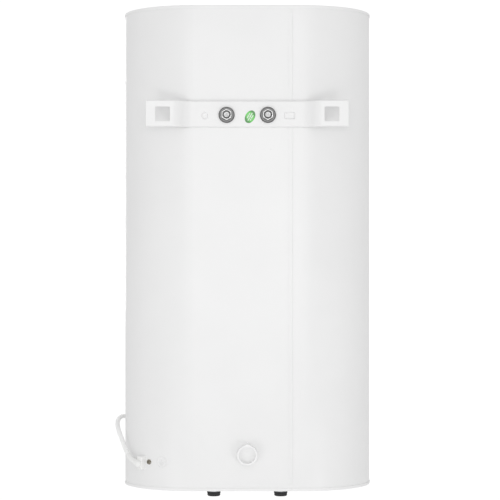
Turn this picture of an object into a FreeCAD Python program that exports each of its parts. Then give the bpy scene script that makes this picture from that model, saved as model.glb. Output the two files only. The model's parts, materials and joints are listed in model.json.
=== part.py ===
"""Wall-hung flat tank water heater, about 45 litres, with two upright inner tanks.

Row frame, in millimetres: the origin is on the wall plane, midway between the two hook windows of
the wall bracket. +Z is up, +Y points into the wall, and the control panel faces -Y.
"""
import FreeCAD, Part
import math
import os

from FreeCAD import Rotation, Placement
from FreeCAD import Vector as V

# ---- driving dimensions -------------------------------------------------------------------------
body_height = 860.0      # covers included
body_radius = 128.0      # half of the depth: both ends of the plan are half rounds
end_spread = 96.0        # from the middle plane to the centre of each half round
wall_gap = 20.0          # wall plane to the casing's flat back
hook_height = 665.7      # hook windows above the underside
sheet = 0.8              # casing sheet
cover_wall = 3.0         # plastic end covers
rim_height = 5.0         # lip of an end cover around the casing
rim_proud = 1.2
skirt_depth = 9.0        # locating skirt of an end cover inside the casing
skirt_wall = 2.2
bay_height = 80.0        # wiring bay under the insulation

tank_radius = 98.0
tank_wall = 2.0
tank_x = 102.0
tank_low = 74.0          # crown of the lower dome, above the underside
tank_high = 830.0
dome_height = 26.0

nipple_x = 61.5
nipple_radius = 10.48    # G 1/2 pipe thread, plain here
shank_radius = 10.7      # the pipe stub above its thread
pilot_radius = 10.2      # and below it, where the transport cap grips
nipple_bore = 7.5
nipple_low = -22.0
thread_low = -16.0
thread_top = -4.0

flange_x = 122.0
collar_radius = 41.0
collar_bore = 29.0
collar_low = 64.0
flange_radius = 41.0
flange_thick = 6.0
gasket_thick = 2.0
flange_bolts = 5
flange_pitch_radius = 35.0

bracket_length = 356.0
bracket_height = 46.5
bracket_middle = 1.3     # height of its middle line over the hook windows' row
bracket_sheet = 2.5
bracket_lip = 6.0        # outer face to lip edge
bracket_flat = 97.0      # half length of the middle that sits on the casing
bracket_wing = 134.0     # half length at which the wings reach the wall plane
window_x = 149.0
window_side = 26.0
bolt_x = 36.5
bolt_z = -0.6            # bolt row
bolt_room = 5.5          # radius of the clearance holes for the M10 bolts
dimple_x = 75.0          # a round and an oblong pressing, one on each side
dimple_z = -1.9
dimple_depth = 2.6
dimple_draft = 1.3       # a pressing is that much narrower at its floor
dimple_wall = 0.6        # metal left behind its floor

spacer_z = 65.2          # lower wall spacer, above the underside
spacer_radius = 18.0
spacer_tip = 20.5
spacer_dish = 9.0        # depth of the round recess in its face

gland_height = 46.5
gland_turn = 44.5        # degrees round the end's centre, from +X towards the wall
earth_turn = 51.9
earth_height = 49.0
cord_diameter = 8.2

panel_height = 40.0      # centre of the control panel above the underside
panel_width = 156.0
panel_tall = 56.0
panel_thick = 3.5

# ---- places worked out from them ----------------------------------------------------------------
back_y = -wall_gap
mid_y = back_y - body_radius
front_y = mid_y - body_radius
base_z = -hook_height
top_z = base_z + body_height
X, Y, Z = V(1, 0, 0), V(0, 1, 0), V(0, 0, 1)


def up(height):
    """Row z of a height above the underside."""
    return base_z + height


# ---- shape helpers ------------------------------------------------------------------------------
def box(x0, x1, y0, y1, z0, z1):
    return Part.makeBox(x1 - x0, y1 - y0, z1 - z0, V(x0, y0, z0))


def rod(radius, base, direction, length):
    return Part.makeCylinder(radius, length, base, direction)


def tube(outer, inner, base, direction, length):
    return rod(outer, base, direction, length).cut(rod(inner, base, direction, length))


def placed(shape, base, direction):
    """Move a shape drawn about the local Z axis onto a base point and a direction."""
    moved = shape.copy()
    moved.Placement = Placement(base, Rotation(Z, direction))
    return moved


def turned(profile, base, direction):
    """Solid of revolution of (radius, height) points; a nested pair is an arc's middle and end."""
    edges = []
    start = V(profile[0][0], 0, profile[0][1])
    for step in list(profile[1:]) + [profile[0]]:
        if isinstance(step[0], tuple):
            middle = V(step[0][0], 0, step[0][1])
            end = V(step[1][0], 0, step[1][1])
            edges.append(Part.Arc(start, middle, end).toShape())
        else:
            end = V(step[0], 0, step[1])
            edges.append(Part.LineSegment(start, end).toShape())
        start = end
    face = Part.Face(Part.Wire(edges))
    return placed(face.revolve(V(0, 0, 0), Z, 360), base, direction)


def hexagon(across, base, direction, length):
    corner = across / math.sqrt(3)
    turns = [math.pi * (k + 0.5) / 3 for k in range(7)]
    points = [V(corner * math.cos(turn), corner * math.sin(turn), 0) for turn in turns]
    return placed(Part.Face(Part.makePolygon(points)).extrude(V(0, 0, length)), base, direction)


def prism(points, shift):
    """Extrude a closed outline, a list of vectors, along a vector."""
    return Part.Face(Part.makePolygon(points + points[:1])).extrude(shift)


def stadium(radius, low, high):
    """Upright prism with the casing's plan: flat front and back, half-round ends."""
    front, back = mid_y - radius, mid_y + radius
    right, left = end_spread, -end_spread
    edges = [
        Part.LineSegment(V(left, back, low), V(right, back, low)).toShape(),
        Part.Arc(V(right, back, low), V(right + radius, mid_y, low), V(right, front, low)).toShape(),
        Part.LineSegment(V(right, front, low), V(left, front, low)).toShape(),
        Part.Arc(V(left, front, low), V(left - radius, mid_y, low), V(left, back, low)).toShape(),
    ]
    return Part.Face(Part.Wire(edges)).extrude(V(0, 0, high - low))


def stadium_ring(outer, inner, low, high):
    return stadium(outer, low, high).cut(stadium(inner, low, high))


def bent_rod(points, diameter, share=0.45, tell=None):
    """Round bar along straight runs joined by tangent arcs, each as large as its runs allow."""
    edges, start = [], points[0]
    for before, here, after in zip(points, points[1:], points[2:]):
        into, out = (here - before), (after - here)
        half_turn = into.getAngle(out) / 2
        reach = share * min(into.Length, out.Length)
        radius = reach / math.tan(half_turn)
        if tell:
            print(f"{tell}: turn {math.degrees(2 * half_turn):5.1f} deg, radius {radius:6.1f} mm")
        into.normalize()
        out.normalize()
        first, last = here - into * reach, here + out * reach
        inward = out - into
        inward.normalize()
        middle = here + inward * (radius / math.cos(half_turn) - radius)
        edges.append(Part.LineSegment(start, first).toShape())
        edges.append(Part.Arc(first, middle, last).toShape())
        start = last
    edges.append(Part.LineSegment(start, points[-1]).toShape())
    path = Part.Wire(edges)
    section = Part.Wire([Part.makeCircle(diameter / 2, points[0], points[1] - points[0])])
    bar = path.makePipeShell([section], True, False)
    if tell:
        expected = math.pi * diameter ** 2 / 4 * path.Length
        print(f"{tell}: length {path.Length:.1f} mm, volume / expected {bar.Volume / expected:.4f}")
    return bar


def group(shapes):
    return Part.makeCompound(list(shapes))


parts = {}


# ---- casing and covers --------------------------------------------------------------------------
seam_x, seam_width, seam_proud = -77.0, 7.0, 0.9
gland_hole = 5.5


def around_end(turn, radius, height):
    """Point at a turn, in degrees, round the +X end's centre line."""
    angle = math.radians(turn)
    return V(end_spread + radius * math.cos(angle), mid_y + radius * math.sin(angle), up(height))


def outward(turn):
    return V(math.cos(math.radians(turn)), math.sin(math.radians(turn)), 0)


def casing():
    low, high = up(cover_wall), top_z - cover_wall
    shell = stadium_ring(body_radius, body_radius - sheet, low, high)
    seam = box(seam_x - seam_width / 2, seam_x + seam_width / 2, back_y, back_y + seam_proud,
               up(rim_height + 4), top_z - rim_height - 4)
    shell = shell.fuse(seam)
    for side in (-1, 1):
        shell = shell.cut(rod(bolt_room, V(side * bolt_x, back_y - 5, bolt_z), Y, 10))
    panel_hole = box(-panel_width / 2 + 8, panel_width / 2 - 8, front_y - 2, front_y + 2,
                     up(panel_height - panel_tall / 2 + 6), up(panel_height + panel_tall / 2 - 6))
    shell = shell.cut(panel_hole)
    shell = shell.cut(rod(gland_hole, around_end(gland_turn, body_radius - 8, gland_height),
                          outward(gland_turn), 16))
    shell = shell.cut(rod(2.0, around_end(earth_turn, body_radius - 8, earth_height),
                          outward(earth_turn), 16))
    shell = shell.cut(rod(4.0, V(0, back_y - 4, up(spacer_z)), Y, 8))
    return shell.removeSplitter()


def end_cover(low, high, outer_face, inward_z):
    """Tray that closes one end: a plate, a lip round the casing and a skirt inside it."""
    plate = stadium(body_radius + rim_proud, low, high)
    plate = plate.makeFillet(1.6, [e for e in plate.Edges
                                   if all(abs(v.Z - outer_face) < 0.01 for v in e.Vertexes)
                                   and abs(e.BoundBox.ZLength) < 0.01])
    inner = high if inward_z > 0 else low
    lip_end = outer_face + inward_z * rim_height
    skirt_end = outer_face + inward_z * (cover_wall + skirt_depth)
    lip = stadium_ring(body_radius + rim_proud, body_radius, min(inner, lip_end), max(inner, lip_end))
    skirt = stadium_ring(body_radius - sheet, body_radius - sheet - skirt_wall,
                         min(inner, skirt_end), max(inner, skirt_end))
    return plate.fuse([lip, skirt])


screw_spots = [(-170, mid_y), (170, mid_y), (0, mid_y - 88), (0, mid_y + 88)]


def bottom_cover():
    tray = end_cover(base_z, up(cover_wall), base_z, 1)
    for side in (-1, 1):
        tray = tray.cut(rod(13.0, V(side * nipple_x, mid_y, base_z - 1), Z, 10))
    for x, y in screw_spots:
        tray = tray.cut(rod(2.2, V(x, y, base_z - 1), Z, 10))
    return tray.removeSplitter()


def cover_screws():
    screws = []
    for x, y in screw_spots:
        head = turned([(0, -2.4), (2.6, -2.4), ((3.6, -1.6), (4.0, 0)), (0, 0)], V(x, y, base_z), Z)
        shank = rod(2.0, V(x, y, base_z), Z, 14)
        slot = box(x - 0.5, x + 0.5, y - 2, y + 2, base_z - 2.6, base_z - 1.2)
        cross = box(x - 2, x + 2, y - 0.5, y + 0.5, base_z - 2.6, base_z - 1.2)
        screws.append(head.fuse(shank).cut(slot).cut(cross))
    return group(screws)


def cover_posts():
    """Moulded posts that the bottom cover's screws bite into, standing on the insulation."""
    low, high = up(cover_wall), up(bay_height)
    return group(tube(6.0, 2.0, V(x, y, low), Z, high - low) for x, y in screw_spots)


# ---- wall mounting ------------------------------------------------------------------------------
plate_y = -wall_gap + bracket_lip   # outer face of the bracket's middle
washer_thick, spring_thick, head_thick = 2.0, 2.5, 6.4


def bracket_line(depth, height):
    """Edges of the bracket's bent line seen from above, a depth towards the casing, left to right."""
    run, rise = (bracket_wing - bracket_flat) / 2, -plate_y / 2
    bend = (run ** 2 + rise ** 2) / (2 * rise)
    half_turn = math.asin(run / bend) / 2
    across, drop = bend * math.sin(half_turn), bend * (1 - math.cos(half_turn))

    def spot(x, y):
        return V(x, y - depth, height)

    def bends(side):
        """The two arcs of one end, from the wing to the middle."""
        halfway = spot(side * (bracket_flat + run), -rise)
        return [Part.Arc(spot(side * bracket_wing, 0), spot(side * (bracket_wing - across), -drop), halfway),
                Part.Arc(halfway, spot(side * (bracket_flat + across), plate_y + drop),
                         spot(side * bracket_flat, plate_y))]

    end = bracket_length / 2
    curves = [Part.LineSegment(spot(-end, 0), spot(-bracket_wing, 0))] + bends(-1)
    curves += [Part.LineSegment(spot(-bracket_flat, plate_y), spot(bracket_flat, plate_y))] + bends(1)
    curves += [Part.LineSegment(spot(bracket_wing, 0), spot(end, 0))]
    return [curve.toShape() for curve in curves]


def bracket_plan(depth, low, high):
    """The bracket's sheet between its wall-side line and the same line a depth towards the casing."""
    end = bracket_length / 2
    closing = [Part.LineSegment(V(x, 0, low), V(x, -depth, low)).toShape() for x in (-end, end)]
    edges = Part.sortEdges(bracket_line(0, low) + bracket_line(depth, low) + closing)[0]
    return Part.Face(Part.Wire(edges)).extrude(V(0, 0, high - low))


def on_outer_line(edge):
    """True for a long level edge of the bracket's wall-side face."""
    def outer_y(x):
        run = min(max((abs(x) - bracket_flat) / (bracket_wing - bracket_flat), 0), 1)
        return plate_y * (1 - run)
    level = edge.BoundBox.ZLength < 0.01 and edge.BoundBox.XLength > 15
    return level and all(abs(v.Y - outer_y(v.X)) < 0.01 for v in edge.Vertexes)


def round_outline(inset, y):
    """Outline of the round pressing, drawn in by an inset."""
    return Part.Wire(Part.makeCircle(6.2 - inset, V(dimple_x, y, dimple_z), Y))


def oblong_outline(inset, y):
    """Outline of the oblong pressing, drawn in by an inset."""
    wide, tall = 9.7 - inset, 6.2 - inset
    block = box(-dimple_x - wide, -dimple_x + wide, y, y + 1, dimple_z - tall, dimple_z + tall)
    block = block.makeFillet(2.0, [e for e in block.Edges if e.BoundBox.YLength > 0.9])
    return min(block.Faces, key=lambda face: face.CenterOfMass.y).OuterWire


def pressing(outline, wall):
    """Tapered block that fills a pressing, or with a wall the outside of the metal behind it."""
    mouth, floor = outline(-wall, plate_y), outline(dimple_draft - wall, plate_y - dimple_depth - wall)
    return Part.makeLoft([mouth, floor], True, True)


def wall_bracket():
    """Pressed channel with two hook windows, two bolt holes and two shallow pressings."""
    low, high = bracket_middle - bracket_height / 2, bracket_middle + bracket_height / 2
    web = bracket_plan(bracket_sheet, low, high)
    lips = [bracket_plan(bracket_lip, low, low + bracket_sheet),
            bracket_plan(bracket_lip, high - bracket_sheet, high)]
    plate = web.fuse(lips).removeSplitter()
    plate = plate.makeFillet(2.3, [e for e in plate.Edges if on_outer_line(e)
                                   and min(abs(e.Vertexes[0].Z - low), abs(e.Vertexes[0].Z - high)) < 0.01])
    half = window_side / 2
    for side in (-1, 1):
        window = box(side * window_x - half, side * window_x + half, -20, 5, -half, half)
        corners = [e for e in window.Edges if e.BoundBox.YLength > 20]
        plate = plate.cut(window.makeFillet(1.5, corners))
        plate = plate.cut(rod(bolt_room, V(side * bolt_x, -30, bolt_z), Y, 40))
    for outline in (round_outline, oblong_outline):
        plate = plate.cut(pressing(outline, 0)).fuse(pressing(outline, dimple_wall).cut(pressing(outline, 0)))
    seam_room = box(seam_x - seam_width / 2 - 1, seam_x + seam_width / 2 + 1, back_y - 1,
                    back_y + seam_proud + 0.2, low - 1, high + 1)
    return plate.cut(seam_room)


def bracket_bolts():
    """M10 hexagon bolts with a dished head, into the weld nuts of the inner strap."""
    head_y = plate_y + washer_thick + spring_thick
    bolts = []
    for side in (-1, 1):
        spot = V(side * bolt_x, head_y, bolt_z)
        head = hexagon(17, spot, Y, head_thick)
        rounding = turned([(0, 0), (11, 0), (11, head_thick - 1.2), (8.4, head_thick), (0, head_thick)],
                          spot, Y)
        dish = turned([(6.9, head_thick + 1), (6.9, head_thick - 0.7), (0, head_thick - 0.7),
                       (0, head_thick + 1)], spot, Y)
        shank = rod(5.0, V(side * bolt_x, head_y - 36, bolt_z), Y, 36)
        bolts.append(head.common(rounding).cut(dish).fuse(shank))
    return group(bolts)


def bracket_rings(radius, low_y, thick, split):
    rings = []
    for side in (-1, 1):
        ring = tube(radius, 5.3, V(side * bolt_x, low_y, bolt_z), Y, thick)
        if split:
            gap = box(side * bolt_x, side * bolt_x + radius + 1, low_y - 1, low_y + thick + 1,
                      bolt_z - 0.8, bolt_z + 0.8)
            ring = ring.cut(gap)
        rings.append(ring)
    return group(rings)


strap_half = 93.0


def mounting_strap():
    """Steel strap behind the casing's back, welded to both tanks, with two weld nuts."""
    high = back_y - sheet
    strap = box(-strap_half, strap_half, high - 3, high, bolt_z - 22, bolt_z + 22)
    for side in (-1, 1):
        strap = strap.cut(rod(bolt_room, V(side * bolt_x, high - 5, bolt_z), Y, 10))
        nut = hexagon(17, V(side * bolt_x, high - 11, bolt_z), Y, 8)
        strap = strap.fuse(nut.cut(rod(5.0, V(side * bolt_x, high - 12, bolt_z), Y, 12)))
        ear_x = side * (strap_half - 9)
        ear_y = mid_y + tank_radius + 0.2
        ear = box(ear_x - 9, ear_x + 9, ear_y, high - 3, bolt_z - 18, bolt_z + 18)
        strap = strap.fuse(ear)
    return strap.removeSplitter()


def wall_spacer():
    """Teardrop foot that holds the casing's lower end off the wall."""
    centre = V(0, back_y, up(spacer_z))
    reach = spacer_radius ** 2 / spacer_tip
    side = math.sqrt(spacer_radius ** 2 - reach ** 2)
    body = rod(spacer_radius, centre, Y, wall_gap)
    wedge = prism([centre + V(-side, 0, reach), centre + V(side, 0, reach), centre + V(0, 0, spacer_tip)],
                  V(0, wall_gap, 0))
    body = body.fuse(wedge).removeSplitter()
    front = [e for e in body.Edges if all(abs(v.Y) < 0.01 for v in e.Vertexes) and e.BoundBox.YLength < 0.01]
    body = body.makeFillet(1.2, front)
    body = body.cut(rod(14.5, centre + V(0, wall_gap - spacer_dish, 0), Y, 9))
    body = body.fuse(rod(6.0, centre + V(0, wall_gap - spacer_dish - 1, 0), Y, 1.6))
    plug = tube(4.0, 2.2, centre - V(0, 6, 0), Y, 7)
    return body.fuse(plug).removeSplitter()


def sticker():
    """Oval check label on the middle of the bracket."""
    thick = 0.15
    oval = Part.Ellipse(V(0, 0, 0), 12.0, 8.3).toShape()
    disc = Part.Face(Part.Wire([oval])).extrude(V(0, 0, thick))
    disc.rotate(V(0, 0, 0), Z, 60)
    disc.rotate(V(0, 0, 0), X, -90)
    disc.translate(V(-5, plate_y, bracket_middle - 5.1))
    return disc


# ---- tanks and insulation -----------------------------------------------------------------------
def dome_profile(radius, height, sphere):
    """Height of a dome's skin at a radius, from its crown."""
    return height + sphere - math.sqrt(sphere ** 2 - radius ** 2)


def tank_body(x, shrink):
    """Round tank with shallow domed ends, as a full solid, made smaller by shrink all round."""
    radius = tank_radius - shrink
    sphere = (tank_radius ** 2 + dome_height ** 2) / (2 * dome_height)
    low, high = tank_low + shrink, tank_high - shrink
    half = radius / 2
    profile = [
        (0, low),
        ((half, dome_profile(half, low, sphere)), (radius, dome_profile(radius, low, sphere))),
        (radius, low + high - dome_profile(radius, low, sphere)),
        ((half, low + high - dome_profile(half, low, sphere)), (0, high)),
    ]
    return turned(profile, V(x, mid_y, base_z), Z)


def tank(side):
    """Enamelled steel tank with a welded flange collar at its foot."""
    shell = tank_body(side * tank_x, 0)
    collar_spot = V(side * flange_x, mid_y, up(collar_low))
    shell = shell.fuse(rod(collar_radius, collar_spot, Z, 26))
    shell = shell.cut(tank_body(side * tank_x, tank_wall))
    shell = shell.cut(rod(collar_bore, collar_spot, Z, 40))
    shell = shell.cut(rod(shank_radius, V(side * nipple_x, mid_y, up(60)), Z, 40))
    shell = shell.cut(rod(link_diameter / 2, V(side * link_x, mid_y, up(tank_high - 20)), Z, 30))
    for x, y in bolt_circle(side):
        shell = shell.cut(rod(3.0, V(x, y, up(collar_low - 1)), Z, 15))
    return shell.removeSplitter()


link_x, link_diameter = 60.0, 14.0


def tank_link():
    """Crossover pipe from the top of the inlet tank to the top of the outlet tank."""
    low, high = up(tank_high - 16), up(tank_high + 8)
    points = [V(-link_x, mid_y, low), V(-link_x, mid_y, high), V(link_x, mid_y, high), V(link_x, mid_y, low)]
    return bent_rod(points, link_diameter, 0.49)


def bolt_circle(side):
    for k in range(flange_bolts):
        angle = 2 * math.pi * (k + 0.5) / flange_bolts
        yield (side * flange_x + side * flange_pitch_radius * math.cos(angle),
               mid_y + flange_pitch_radius * math.sin(angle))


def insulation():
    """Foamed-in-place insulation between the casing and the tanks."""
    foam = stadium(body_radius - sheet, up(bay_height), top_z - cover_wall - skirt_depth)
    for side in (-1, 1):
        foam = foam.cut(tank_body(side * tank_x, 0))
        foam = foam.cut(rod(collar_radius, V(side * flange_x, mid_y, up(collar_low)), Z, 30))
        foam = foam.cut(rod(shank_radius, V(side * nipple_x, mid_y, up(60)), Z, 40))
    foam = foam.cut(parts["tank_link_pipe"])
    high = back_y - sheet
    foam = foam.cut(box(-strap_half - 2, strap_half + 2, high - 36, high + 1, bolt_z - 24, bolt_z + 24))
    return foam


# ---- what each flange carries -------------------------------------------------------------------
leg_spread, leg_y, leg_radius = 12.0, 10.0, 4.0
anode_y, anode_radius = -14.0, 8.0
well_y, well_radius, well_bore = 22.0, 4.5, 3.2
flange_low = collar_low - gasket_thick - flange_thick


def flange_at(side, x, y, height):
    return V(side * flange_x + x, mid_y + y, up(height))


def element_flange(side):
    disc = rod(flange_radius, flange_at(side, 0, 0, flange_low), Z, flange_thick)
    for x in (-leg_spread, leg_spread):
        disc = disc.cut(rod(leg_radius, flange_at(side, x, leg_y, 50), Z, 20))
    disc = disc.cut(rod(3.0, flange_at(side, 0, anode_y, 50), Z, 20))
    disc = disc.cut(rod(well_radius, flange_at(side, 0, well_y, 50), Z, 20))
    for x, y in bolt_circle(side):
        disc = disc.cut(rod(3.0, V(x, y, up(50)), Z, 20))
    return disc


def flange_gaskets():
    rings = []
    for side in (-1, 1):
        spot = flange_at(side, 0, 0, collar_low - gasket_thick)
        ring = tube(flange_radius, collar_bore - 1, spot, Z, gasket_thick)
        for x, y in bolt_circle(side):
            ring = ring.cut(rod(3.0, V(x, y, up(50)), Z, 20))
        rings.append(ring)
    return group(rings)


def flange_screws():
    screws = []
    for side in (-1, 1):
        for x, y in bolt_circle(side):
            head = hexagon(10, V(x, y, up(flange_low - 4)), Z, 4)
            screws.append(head.fuse(rod(3.0, V(x, y, up(flange_low)), Z, 20)))
    return group(screws)


def heating_element(side, tall=330.0):
    """Hairpin element: one bent sheath with a terminal pin under each leg."""
    foot = flange_low - 8
    straight = tall - leg_spread
    left, right = flange_at(side, -leg_spread, leg_y, foot), flange_at(side, leg_spread, leg_y, foot)
    legs = [rod(leg_radius, spot, Z, straight - foot) for spot in (left, right)]
    bend = Part.makeTorus(leg_spread, leg_radius, flange_at(side, 0, leg_y, straight), Y)
    half = box(side * flange_x - 30, side * flange_x + 30, mid_y - 30, mid_y + 60,
               up(straight), up(tall + 20))
    pins = [rod(1.8, spot - V(0, 0, 7), Z, 7) for spot in (left, right)]
    return legs[0].fuse([legs[1], bend.common(half)] + pins).removeSplitter()


def anode(side):
    """Magnesium rod on an M6 stud with a nut under the flange."""
    stud = rod(3.0, flange_at(side, 0, anode_y, flange_low - 8), Z, 26)
    block = rod(anode_radius, flange_at(side, 0, anode_y, flange_low + 14), Z, 190)
    nut = hexagon(10, flange_at(side, 0, anode_y, flange_low - 5), Z, 5)
    return stud.fuse([block, nut])


def thermowells(tall=290.0):
    """Closed pockets for the temperature bulbs."""
    spots = [flange_at(side, 0, well_y, flange_low - 4) for side in (-1, 1)]
    return group(rod(well_radius, spot, Z, tall).cut(rod(well_bore, spot - V(0, 0, 1), Z, tall - 2))
                 for spot in spots)


# ---- water connections --------------------------------------------------------------------------
nipple_top = 90.0
fit = 0.05               # gap all round between parts that slide or turn in each other
cap_low, cap_high = -24.4, -16.4
cap_floor = 2.3


def nipple(side):
    """Pipe stub welded into the tank, with its thread under the coloured collar."""
    profile = [(nipple_bore, nipple_low), (pilot_radius, nipple_low), (pilot_radius, thread_low),
               (nipple_radius, thread_low), (nipple_radius, thread_top), (shank_radius, thread_top),
               (shank_radius, nipple_top), (nipple_bore, nipple_top)]
    return turned(profile, V(side * nipple_x, mid_y, base_z), Z)


def nipple_ring(side):
    """Coloured collar that marks cold or hot, under the bottom cover."""
    spot = V(side * nipple_x, mid_y, up(thread_top))
    collar = tube(15.5, shank_radius, spot, Z, -thread_top)
    return collar.fuse(tube(12.8, shank_radius, spot, Z, -thread_top + cover_wall + 1))


def nipple_cap(side):
    """Push-on transport cap over the thread."""
    tall = cap_high - cap_low
    inside = pilot_radius + fit
    profile = [(0, 0), (10.4, 0), (12.0, 1.4), (12.5, tall), (inside, tall), (inside, cap_floor),
               (0, cap_floor)]
    return turned(profile, V(side * nipple_x, mid_y, up(cap_low)), Z)


def inlet_diffuser():
    """Slotted cup that slows the cold water as it enters."""
    spot = V(-nipple_x, mid_y, up(90))
    cup = turned([(nipple_bore, 0), (14, 0), (14, 22), (0, 22), (0, 19), (11, 19), (11, 3), (nipple_bore, 3)],
                 spot, Z)
    for turn in range(0, 180, 45):
        slot = box(-20, 20, -2, 2, 6, 14)
        slot.rotate(V(0, 0, 0), Z, turn)
        slot.translate(spot)
        cup = cup.cut(slot)
    return cup


def outlet_dip_tube():
    return tube(nipple_bore, nipple_bore - 1, V(nipple_x, mid_y, up(62)), Z, tank_high - 25 - 62)


# ---- wiring bay ---------------------------------------------------------------------------------
knob_x, dial_x = 52.0, -52.0
rocker_spots = {"power": -16.0, "boost": 14.0}
fascia_y = front_y - panel_thick
panel_z = up(panel_height)
shaft_radius = 3.0


def control_fascia():
    """Moulded panel over the opening in the casing's lower front."""
    plate = box(-panel_width / 2, panel_width / 2, fascia_y, front_y,
                panel_z - panel_tall / 2, panel_z + panel_tall / 2)
    plate = plate.makeFillet(8, [e for e in plate.Edges if e.BoundBox.YLength > 3])
    plate = plate.makeFillet(1.4, [e for e in plate.Edges
                                   if all(abs(v.Y - fascia_y) < 0.01 for v in e.Vertexes)])
    plate = plate.cut(rod(shaft_radius + 1, V(knob_x, fascia_y - 1, panel_z), Y, 10))
    plate = plate.cut(rod(15.0, V(dial_x, fascia_y - 1, panel_z), Y, 10))
    for x in rocker_spots.values():
        plate = plate.cut(box(x - 7, x + 7, fascia_y - 1, front_y + 1, panel_z - 11, panel_z + 11))
    for x in lamp_spots:
        plate = plate.cut(rod(2.5, V(x, fascia_y - 1, panel_z + lamp_rise), Y, 10))
    return plate


lamp_spots, lamp_rise = (rocker_spots["power"], rocker_spots["boost"]), 19.0


def lamp_lenses():
    """Two small domed indicator lenses."""
    profile = [(0, -1.8), ((1.8, -1.2), (2.5, 0)), (2.5, 9), (0, 9)]
    return group(turned(profile, V(x, fascia_y, panel_z + lamp_rise), Y) for x in lamp_spots)


def thermostat():
    """Capillary thermostat behind the panel, with a bore for the knob's shaft."""
    body = box(knob_x - 16, knob_x + 16, front_y, front_y + 26, panel_z - 16, panel_z + 16)
    body = body.makeFillet(3, [e for e in body.Edges if e.BoundBox.YLength > 20])
    return body.cut(rod(shaft_radius + fit, V(knob_x, front_y - 1, panel_z), Y, 15.1))


def thermostat_shaft():
    shaft = rod(shaft_radius, V(knob_x, fascia_y - 12, panel_z), Y, 12 + panel_thick + 14)
    flat = box(knob_x - 4, knob_x + 4, fascia_y - 13, fascia_y - 2, panel_z + 2.0, panel_z + 4)
    return shaft.cut(flat)


def temperature_knob():
    """Round knob with a raised grip bar and a pointer groove."""
    spot = V(knob_x, fascia_y - 1.0, panel_z)
    skirt = turned([(0, 0), (18, 0), (18, 1.6), (15.4, 4.2), (14.8, 7.5), (0, 7.5)], spot, -Y)
    grip = box(knob_x - 3.6, knob_x + 3.6, spot.y - 16, spot.y - 6, panel_z - 15, panel_z + 15)
    grip = grip.common(rod(14.6, V(knob_x, spot.y, panel_z), -Y, 16))
    grip = grip.makeFillet(1.5, [e for e in grip.Edges if abs(e.BoundBox.YMin - (spot.y - 16)) < 0.01
                                 and e.BoundBox.YLength < 0.01])
    knob = skirt.fuse(grip)
    groove = box(knob_x - 0.6, knob_x + 0.6, spot.y - 17, spot.y - 15.2, panel_z + 3, panel_z + 16)
    hole = rod(shaft_radius, V(knob_x, spot.y, panel_z), -Y, 11)
    flat = box(knob_x - 4, knob_x + 4, spot.y - 11, spot.y - 1, panel_z + 2.0, panel_z + 4)
    return knob.cut(groove).cut(hole.cut(flat))


pivot_y = fascia_y + 0.5
rocker_half, rocker_reach = 5.3, 9.2


def rocker_frames():
    frames = []
    for x in rocker_spots.values():
        bezel = box(x - 9, x + 9, fascia_y - 1.6, fascia_y, panel_z - 13, panel_z + 13)
        bezel = bezel.makeFillet(1.0, [e for e in bezel.Edges
                                       if all(abs(v.Y - fascia_y + 1.6) < 0.01 for v in e.Vertexes)])
        case = box(x - 7, x + 7, fascia_y, front_y + 14, panel_z - 11, panel_z + 11)
        room = box(x - rocker_half - 0.3, x + rocker_half + 0.3, fascia_y - 3, front_y + 12,
                   panel_z - rocker_reach - 0.4, panel_z + rocker_reach + 0.4)
        pivot = rod(1.5 + fit, V(x - 7, pivot_y, panel_z), X, 14)
        tabs = [box(x - 4 + 6 * k, x - 2 + 6 * k, front_y + 14, front_y + 22, panel_z - 0.8, panel_z + 0.8)
                for k in (0, 1)]
        frames.append(bezel.fuse([case] + tabs).cut(room).cut(pivot))
    return group(frames)


def rocker(name):
    """Rocker on two trunnions, resting in its off position, tilted about them."""
    x = rocker_spots[name]
    body = rod(rocker_reach, V(x - rocker_half, pivot_y, panel_z), X, 2 * rocker_half)
    left, back = x - rocker_half, pivot_y + 7
    keep = prism([V(left, back, panel_z - 12), V(left, pivot_y - 4.6, panel_z - 12),
                  V(left, pivot_y - 3.4, panel_z), V(left, pivot_y - 4.6, panel_z + 12),
                  V(left, back, panel_z + 12)], V(2 * rocker_half, 0, 0))
    body = body.common(keep)
    trunnions = rod(1.5, V(x - 6.6, pivot_y, panel_z), X, 13.2)
    body = body.fuse(trunnions).removeSplitter()
    body.rotate(V(x, pivot_y, panel_z), X, rocker_rest)
    return body


rocker_rest = -8.0
dial_depth = 4.0


def thermometer_case():
    """Round dial case with a bezel, a dial plate and the needle's pin."""
    spot = V(dial_x, front_y + 12, panel_z)
    deep = panel_thick + 12
    profile = [(0, 0), (15, 0), (15, deep), (17.5, deep), (17.5, deep + 2.4), (16.2, deep + dial_depth),
               (14.5, deep + dial_depth), (14.5, deep + 0.4), (0, deep + 0.4)]
    case = turned(profile, spot, -Y)
    return case.fuse(rod(1.15, spot, -Y, deep + 2.2))


def thermometer_needle():
    """Thin pointer resting at the cold end, low on the -X side of the dial."""
    spot = V(dial_x, fascia_y - 1.0, panel_z)
    hub = rod(2.6, spot, -Y, 1.0)
    arm = box(-0.9, 0.9, 0, 0.6, 0, 12.0)
    arm.rotate(V(0, 0, 0), Y, needle_rest)
    arm.translate(spot - V(0, 0.8, 0))
    return hub.fuse(arm).cut(rod(1.15 + fit, spot + V(0, 1, 0), -Y, 4))


needle_rest = -120.0


def thermometer_lens():
    return rod(14.5, V(dial_x, fascia_y - dial_depth + 0.2, panel_z), Y, 1.2)


cutout_x, cutout_y = 0.0, mid_y - 38.0


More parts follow.
